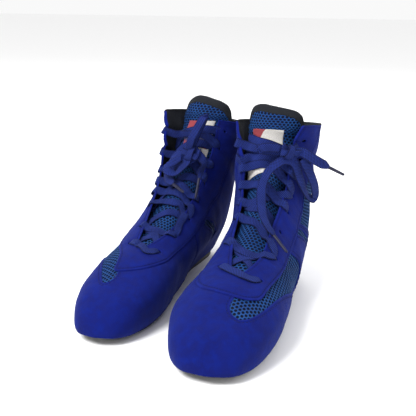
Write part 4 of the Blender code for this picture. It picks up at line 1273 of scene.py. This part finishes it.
def build_tongue(boot):
    side = curve(*TONGUE_SIDE)
    crown, band_low = tilted(boot.name, curve(*CROWN)), tilted(boot.name, curve(*BAND_LOW))
    bottom = curve(tuple(inner_side(side)[0]), tuple(side[0]))
    side, other_side, bottom = (tilted(boot.name, line) for line in (side, inner_side(side)[::-1], bottom))
    outline = [side, crown, other_side, bottom]
    ring = np.concatenate([spaced(UPPER.flat(line), 3.0) for line in outline])
    pad = boot.panel("tongue_pad", outline, -0.85, 5.0, "backing", ["tongue", "tongue_top"], step=4.0,
                     roll=3.0, depth=tongue_depth, ride=False)
    fold_tongue(boot, pad)
    fold_tongue(boot, boot.perforated("tongue_mesh", shrunk(ring, 2.4), tongue_depth, [],
                                      pitch=4.3, hole=1.5, ride=False))
    fold_tongue(boot, boot.panel("tongue_band", [crown, band_low], 0.35, 6.6, "band", [], step=2.4,
                                 roll=1.6, grow=0.9, depth=tongue_depth, ride=False))
    low, high, right, left = LABEL_BOXES[boot.name]
    corners = ((low, right), (high, right), (high, left), (low, left))
    badge = boot.panel("tongue_label", [curve(corners[k], corners[(k + 1) % 4]) for k in range(4)],
                       0.55, 0.5, "label", ["tongue_label"], step=2.6, roll=0.5, depth=tongue_depth)
    layers = badge.data.uv_layers
    flat = np.zeros(len(badge.data.loops) * 2, np.float32)
    layers["flat"].data.foreach_get("uv", flat)
    uv = UPPER.folded(flat.reshape(-1, 2).astype(float))
    across = (uv[:, 1] - right) / (left - right)
    if boot.side > 0:
        across = 1.0 - across
    spots = np.column_stack([across, (uv[:, 0] - low) / (high - low)])
    layers.new(name="badge").data.foreach_set("uv", spots.astype(np.float32).ravel())


# ---------------------------------------------------------------- laces
LACE_WIDTH = 8.0
LACE_SEEN = 8.8
LACE_THICK = 1.5
LACE_SECTION = (
    (-1.0, 0.0), (-0.94, 0.55), (-0.78, 0.92), (-0.4, 1.0), (0.0, 1.0), (0.4, 1.0), (0.78, 0.92),
    (0.94, 0.55), (1.0, 0.0), (0.94, -0.55), (0.78, -0.92), (0.0, -1.0), (-0.78, -0.92), (-0.94, -0.55),
)


def along_path(points, step):
    """A smooth curve through points, laid out afresh about a step apart; columns past x, y, z ride along."""
    points = np.array(points, float)
    knots = np.arange(len(points), dtype=float)
    fine = smooth(knots, points, np.linspace(0.0, knots[-1], 24 * len(points)))
    run = run_along(fine[:, :3])
    at = np.linspace(0.0, run[-1], max(4, round(run[-1] / step)) + 1)
    return np.stack([np.interp(at, run, fine[:, k]) for k in range(fine.shape[1])], axis=-1), at


def ribbon_mesh(centre, up, twist, width, thick, at):
    """Points, faces and flat places of a flat band along a line in the boot's frame."""
    ahead = unit(np.gradient(centre, axis=0))
    up = unit(up - ahead * (up * ahead).sum(axis=1, keepdims=True))
    side = np.cross(ahead, up)
    cos, sin = np.cos(twist)[:, None], np.sin(twist)[:, None]
    up, side = up * cos + side * sin, side * cos - up * sin
    points, flat = [], []
    for i in range(len(centre)):
        for x, y in LACE_SECTION:
            points.append(centre[i] + side[i] * x * width[i] / 2 + up[i] * y * thick[i] / 2)
            flat.append((x * LACE_WIDTH / 2, at[i]))
    return np.array(points), tube_faces(len(centre), len(LACE_SECTION)), np.array(flat)


def end_taper(at, reach, least):
    """1 along a lace's middle, falling to least at both ends."""
    return least + (1.0 - least) * eased(clamped(np.minimum(at, at[-1] - at) / reach))


STAY_TOP = 1.75
# The laced rows: places over the upper as (u, v), from eyelet to eyelet, and how far they are
# lifted over the strands they cross.
OVER = {
    "right": (
        (((0.365, 0.432), (0.351, 0.480), (0.334, 0.515), (0.322, 0.550), (0.350, 0.592)), 0.6),
        (((0.450, 0.425), (0.432, 0.470), (0.427, 0.520), (0.430, 0.570), (0.440, 0.606)), 1.0),
        (((0.545, 0.402), (0.556, 0.450), (0.548, 0.507), (0.553, 0.540), (0.530, 0.572), (0.480, 0.582),
          (0.440, 0.606)), 0.5),
        (((0.630, 0.385), (0.606, 0.440), (0.585, 0.500), (0.572, 0.560), (0.530, 0.604)), 1.3),
        (((0.705, 0.372), (0.672, 0.419), (0.625, 0.481), (0.600, 0.540), (0.605, 0.597)), 2.4),
        (((0.785, 0.362), (0.752, 0.425), (0.740, 0.471), (0.735, 0.517), (0.690, 0.581)), 1.2),
        (((0.860, 0.357), (0.810, 0.414), (0.772, 0.469), (0.770, 0.523), (0.775, 0.579)), 1.8),
        (((0.935, 0.350), (0.895, 0.411), (0.882, 0.461), (0.884, 0.503), (0.850, 0.588)), 0.8),
    ),
    "left": (
        (((0.372, 0.572), (0.345, 0.530), (0.325, 0.483), (0.320, 0.445), (0.335, 0.412)), 0.6),
        (((0.500, 0.606), (0.452, 0.545), (0.425, 0.490), (0.430, 0.430), (0.450, 0.390)), 1.0),
        (((0.610, 0.612), (0.566, 0.550), (0.545, 0.509), (0.530, 0.477), (0.500, 0.445),
          (0.450, 0.390)), 0.4),
        (((0.690, 0.608), (0.640, 0.560), (0.628, 0.520), (0.650, 0.480), (0.690, 0.440),
          (0.725, 0.404)), 0.6),
        (((0.760, 0.606), (0.722, 0.540), (0.685, 0.496), (0.655, 0.450), (0.637, 0.402)), 1.8),
        (((0.820, 0.612), (0.808, 0.550), (0.800, 0.500), (0.770, 0.450), (0.725, 0.404)), 1.4),
        (((0.880, 0.630), (0.845, 0.560), (0.835, 0.500), (0.815, 0.450), (0.800, 0.398)), 1.6),
        (((0.935, 0.652), (0.905, 0.600), (0.880, 0.545), (0.868, 0.500), (0.872, 0.450)), 3.2),
        (((0.940, 0.610), (0.915, 0.560), (0.900, 0.515), (0.888, 0.480), (0.880, 0.450)), 2.4),
    ),
}
UNDER = {
    "right": (
        ((0.365, 0.432), (0.400, 0.490), (0.440, 0.606)),
        ((0.350, 0.592), (0.400, 0.530), (0.450, 0.425)),
        ((0.450, 0.425), (0.500, 0.480), (0.530, 0.604)),
        ((0.545, 0.402), (0.640, 0.468), (0.690, 0.581)),
        ((0.785, 0.362), (0.830, 0.456), (0.850, 0.588)),
        ((0.860, 0.357), (0.900, 0.460), (0.925, 0.601)),
    ),
    "left": (
        ((0.335, 0.412), (0.395, 0.480), (0.500, 0.606)),
        ((0.372, 0.572), (0.400, 0.520), (0.450, 0.390)),
        ((0.550, 0.402), (0.585, 0.470), (0.610, 0.540), (0.690, 0.608)),
        ((0.637, 0.402), (0.700, 0.500), (0.760, 0.606)),
        ((0.800, 0.398), (0.815, 0.500), (0.820, 0.612)),
        ((0.870, 0.388), (0.850, 0.480), (0.880, 0.630)),
    ),
}


def strand(boot, route, raised, over):
    """One length of lace between two eyelets, held by the stay."""
    outer, inner = throat(boot.name)
    knots = np.arange(len(route), dtype=float)
    uv = smooth(knots, np.array(route, float), np.linspace(0.0, knots[-1], 22 * len(route)))
    u, v = uv.T
    away = np.abs(v - FRONT) * UPPER.girth_at(u)
    edge = np.where(v < FRONT, FRONT - read(outer, u), read(inner, u) - FRONT) * UPPER.girth_at(u)
    floor = tongue_depth(uv) + 0.9
    if over:
        on_stay = clamped((away - edge + 2.5) / 3.0)
        floor = floor * (1 - on_stay) + (STAY_TOP + boot.shell_depth(uv)) * on_stay
    first, last = boot.skin.at(uv[[0, -1]], floor[[0, -1]])
    share = np.linspace(0.0, 1.0, len(uv))[:, None]
    chord = first + (last - first) * share
    bare, normal = boot.skin.place_and_normal(uv)
    height = np.maximum(((chord - bare) * normal).sum(axis=1), floor)
    kernel = np.ones(9) / 9
    for _ in range(3):
        height = np.maximum(np.convolve(np.pad(height, 4, mode="edge"), kernel, mode="valid"), floor)
    height = height + raised * np.sin(math.pi * share[:, 0]) ** 0.7
    if over:
        dive = clamped(1.0 - np.minimum(share[:, 0], 1.0 - share[:, 0]) * len(uv) / 9.0)
        height = height - 3.2 * dive**2
    line = np.column_stack([bare + normal * height[:, None], normal])
    points, at = along_path(line[::3], 1.5)
    taper = end_taper(at, 9.0, 0.55)
    wobble = noisy(at / 17.0, raised * 3.1, boot.side + len(route))
    width = LACE_SEEN * taper * (1 - 0.1 * np.abs(wobble))
    return ribbon_mesh(points[:, :3], points[:, 3:6], 0.35 * wobble, width, LACE_THICK / taper**0.5, at)


def joined(parts):
    """Several meshes as one."""
    points, faces, flat, first = [], [], [], 0
    for mesh, ring, place in parts:
        points.append(mesh)
        flat.append(place)
        faces += [tuple(i + first for i in face) for face in ring]
        first += len(mesh)
    return np.concatenate(points), faces, np.concatenate(flat)


def build_laces(boot):
    parts = [strand(boot, route, raised, True) for route, raised in OVER[boot.name]]
    parts += [strand(boot, route, 0.25 * (k % 2), False) for k, route in enumerate(UNDER[boot.name])]
    points, faces, flat = joined(parts)
    boot.piece("laced_rows", points, faces, "lace", ["laced_rows"], flat)


# The bow of each boot: places over the upper as (u, v, height above it, twist in degrees).
KNOTS = {"right": (0.782, 0.499, 9.0), "left": (0.881, 0.444, 9.5)}
BOWS = {
    "right": {
        "bow_loop_1": (
            (0.816, 0.495, 12, 0), (0.860, 0.494, 15, 0), (0.912, 0.499, 17, 5), (0.962, 0.505, 17, 10),
            (0.990, 0.508, 14, 10), (0.965, 0.507, 11, 10), (0.912, 0.501, 9.5, 5), (0.858, 0.498, 8.5, 0),
            (0.816, 0.498, 7.5, 0),
        ),
        "bow_loop_2": (
            (0.750, 0.486, 12, 10), (0.725, 0.476, 15, 15), (0.694, 0.467, 17, 15), (0.662, 0.471, 15, 20),
            (0.656, 0.484, 11, 20), (0.684, 0.491, 9, 15), (0.740, 0.497, 8, 10),
        ),
        "lace_end_1": (
            (0.770, 0.527, 9, 20), (0.742, 0.532, 11, 30), (0.712, 0.532, 11, 30), (0.686, 0.535, 11, 20),
            (0.660, 0.540, 11, 0),
        ),
        "lace_end_2": (
            (0.790, 0.469, 8, 0), (0.760, 0.450, 8, 0), (0.700, 0.448, 8, 10), (0.640, 0.462, 8, 10),
            (0.600, 0.486, 8, 0),
        ),
    },
    "left": {
        "bow_loop_1": (
            (0.890, 0.473, 12, 0), (0.894, 0.489, 14.5, -5), (0.892, 0.506, 15, -10),
            (0.884, 0.519, 12.5, -10), (0.877, 0.513, 9.5, -10), (0.874, 0.497, 8.5, -5),
            (0.873, 0.484, 7.5, 0), (0.874, 0.473, 7, 0),
        ),
        "bow_loop_2": (
            (0.870, 0.409, 12, 0), (0.846, 0.394, 14, 10), (0.820, 0.372, 15, 12), (0.806, 0.346, 14, 18),
            (0.790, 0.324, 12, 25), (0.775, 0.346, 9.5, 25), (0.778, 0.381, 9.5, 15), (0.805, 0.410, 9, 5),
            (0.842, 0.428, 8.5, 0),
        ),
        "lace_end_1": (
            (0.896, 0.415, 12, 0), (0.893, 0.402, 16, 10), (0.886, 0.387, 20, 20), (0.880, 0.368, 24, 20),
            (0.877, 0.350, 27, 10),
        ),
        "lace_end_2": (
            (0.843, 0.457, 9, 10), (0.812, 0.480, 11, 20), (0.751, 0.496, 12, 15), (0.667, 0.500, 12, 0),
            (0.595, 0.496, 12, -10), (0.541, 0.484, 12, -15), (0.507, 0.463, 12, -15),
            (0.482, 0.434, 12, 0),
        ),
    },
}
AGLET_SCALE = 0.88
# The tip of a lace: distance along it and radius.
AGLET_PROFILE = tuple((reach, AGLET_SCALE * radius) for reach, radius in (
    (-1.2, 1.35), (-1.15, 1.62), (0.0, 1.64), (1.2, 1.6), (2.0, 1.46), (2.8, 1.58), (9.0, 1.5),
    (9.8, 1.38), (10.6, 1.48), (16.0, 1.4), (19.2, 1.36), (20.3, 1.15), (20.9, 0.75), (21.2, 0.2),
))
PAIRS = (("bow_loop_1", "lace_end_1"), ("bow_loop_2", "lace_end_2"))


def build_bow(boot):
    """Each loose lace: a loop of the bow, its pass through the knot, and the free end."""
    for number, (loop, end) in enumerate(PAIRS, 1):
        there, back = (np.array(BOWS[boot.name][part], float) for part in (loop, end))
        route = np.concatenate([there, back])
        bare, normal = UPPER.place_and_normal(route[:, :2])
        line = np.column_stack([bare + normal * route[:, 2:3], normal, np.radians(route[:, 3])])
        points, at = along_path(line, 1.4)
        taper = 0.36 + 0.64 * clamped((at[-1] - at) / 7.0) ** 0.7
        taper *= 0.75 + 0.25 * clamped(at / 6.0)
        mesh, faces, flat = ribbon_mesh(points[:, :3], points[:, 3:6], points[:, 6], LACE_SEEN * taper,
                                        LACE_THICK / taper**0.6, at)
        item = boot.piece(f"lace_{number}", mesh, faces, "lace", [loop, end], flat)
        path = boot.world(points[:, :3])
        ahead = unit(points[-1, :3] - points[-3, :3])
        tip = aglet(boot, f"aglet_{number}", points[-1, :3], ahead, points[-1, 3:6])


def aglet(boot, name, start, ahead, up):
    """The hard tip of a lace: film rolled round its end, crimped, with a rounded nose."""
    up = unit(up - ahead * (up @ ahead))
    side = np.cross(ahead, up)
    points, flat = [], []
    count = 14
    for reach, radius in AGLET_PROFILE:
        for k in range(count):
            a = 2 * math.pi * k / count
            out = side * 1.12 * math.cos(a) + up * 0.9 * math.sin(a)
            points.append(start + ahead * reach + out * radius)
            flat.append((a, reach))
    faces = tube_faces(len(AGLET_PROFILE), count)
    return boot.piece(name, np.array(points), faces, "aglet", [name], np.array(flat))


def build_knot(boot):
    """The knot: a band of lace wound round the roots of the bow."""
    u, v, height = KNOTS[boot.name]
    spots, normal = UPPER.place_and_normal([(u, v), (u, v + 0.01)])
    middle = spots[0] + normal[0] * height
    out = normal[0]
    across = spots[1] - spots[0]
    across = unit(across - out * (across @ out))
    along = np.cross(out, across)
    parts = []
    for tilt, wide, deep, shift, grow in ((0.14, 6.0, 4.4, 0.3, 1.0), (-0.22, 5.2, 3.6, -0.8, 0.9)):
        angle = np.linspace(0.0, 2 * math.pi, 40)
        lean = across * math.sin(tilt) + along * math.cos(tilt)
        centre = middle + np.outer(np.cos(angle) * wide, lean) + np.outer(np.sin(angle) * deep, out)
        centre = centre + across * shift + np.outer(np.sin(angle * 0.5) * 0.6, across)
        up = np.outer(np.cos(angle) / wide, lean) + np.outer(np.sin(angle) / deep, out)
        parts.append(ribbon_mesh(centre, up, 0.25 * np.sin(angle), np.full(40, 7.2 * grow),
                                 np.full(40, LACE_THICK), run_along(centre)))
    for tilt, level, bend in ((0.25, 1.6, 2.0), (-0.35, -0.6, -1.5), (1.0, -1.8, 1.0)):
        share = np.linspace(-1.0, 1.0, 24)
        lean = across * math.cos(tilt) + along * math.sin(tilt)
        centre = middle + np.outer(share * 9.5, lean) + np.outer(level + bend * (1 - share**2) * 0.5, out)
        at = (share + 1) * 9.5
        width = 5.0 + 2.6 * np.abs(share) ** 1.5
        parts.append(ribbon_mesh(centre, np.tile(out, (24, 1)), 0.5 * share, width, np.full(24, 2.4), at))
    points, faces, flat = joined(parts)
    boot.piece("knot", points, faces, "lace", ["knot"], flat)


# ---------------------------------------------------------------- everything together
make_camera()
make_stage()
for boot_name in BOOTS:
    made_boot = Boot(boot_name)
    build_bow(made_boot)
    build_knot(made_boot)
    build_laces(made_boot)
    build_tongue(made_boot)
    build_upper(made_boot)
    build_inside(made_boot)
    build_collar(made_boot)
    build_sole(made_boot)
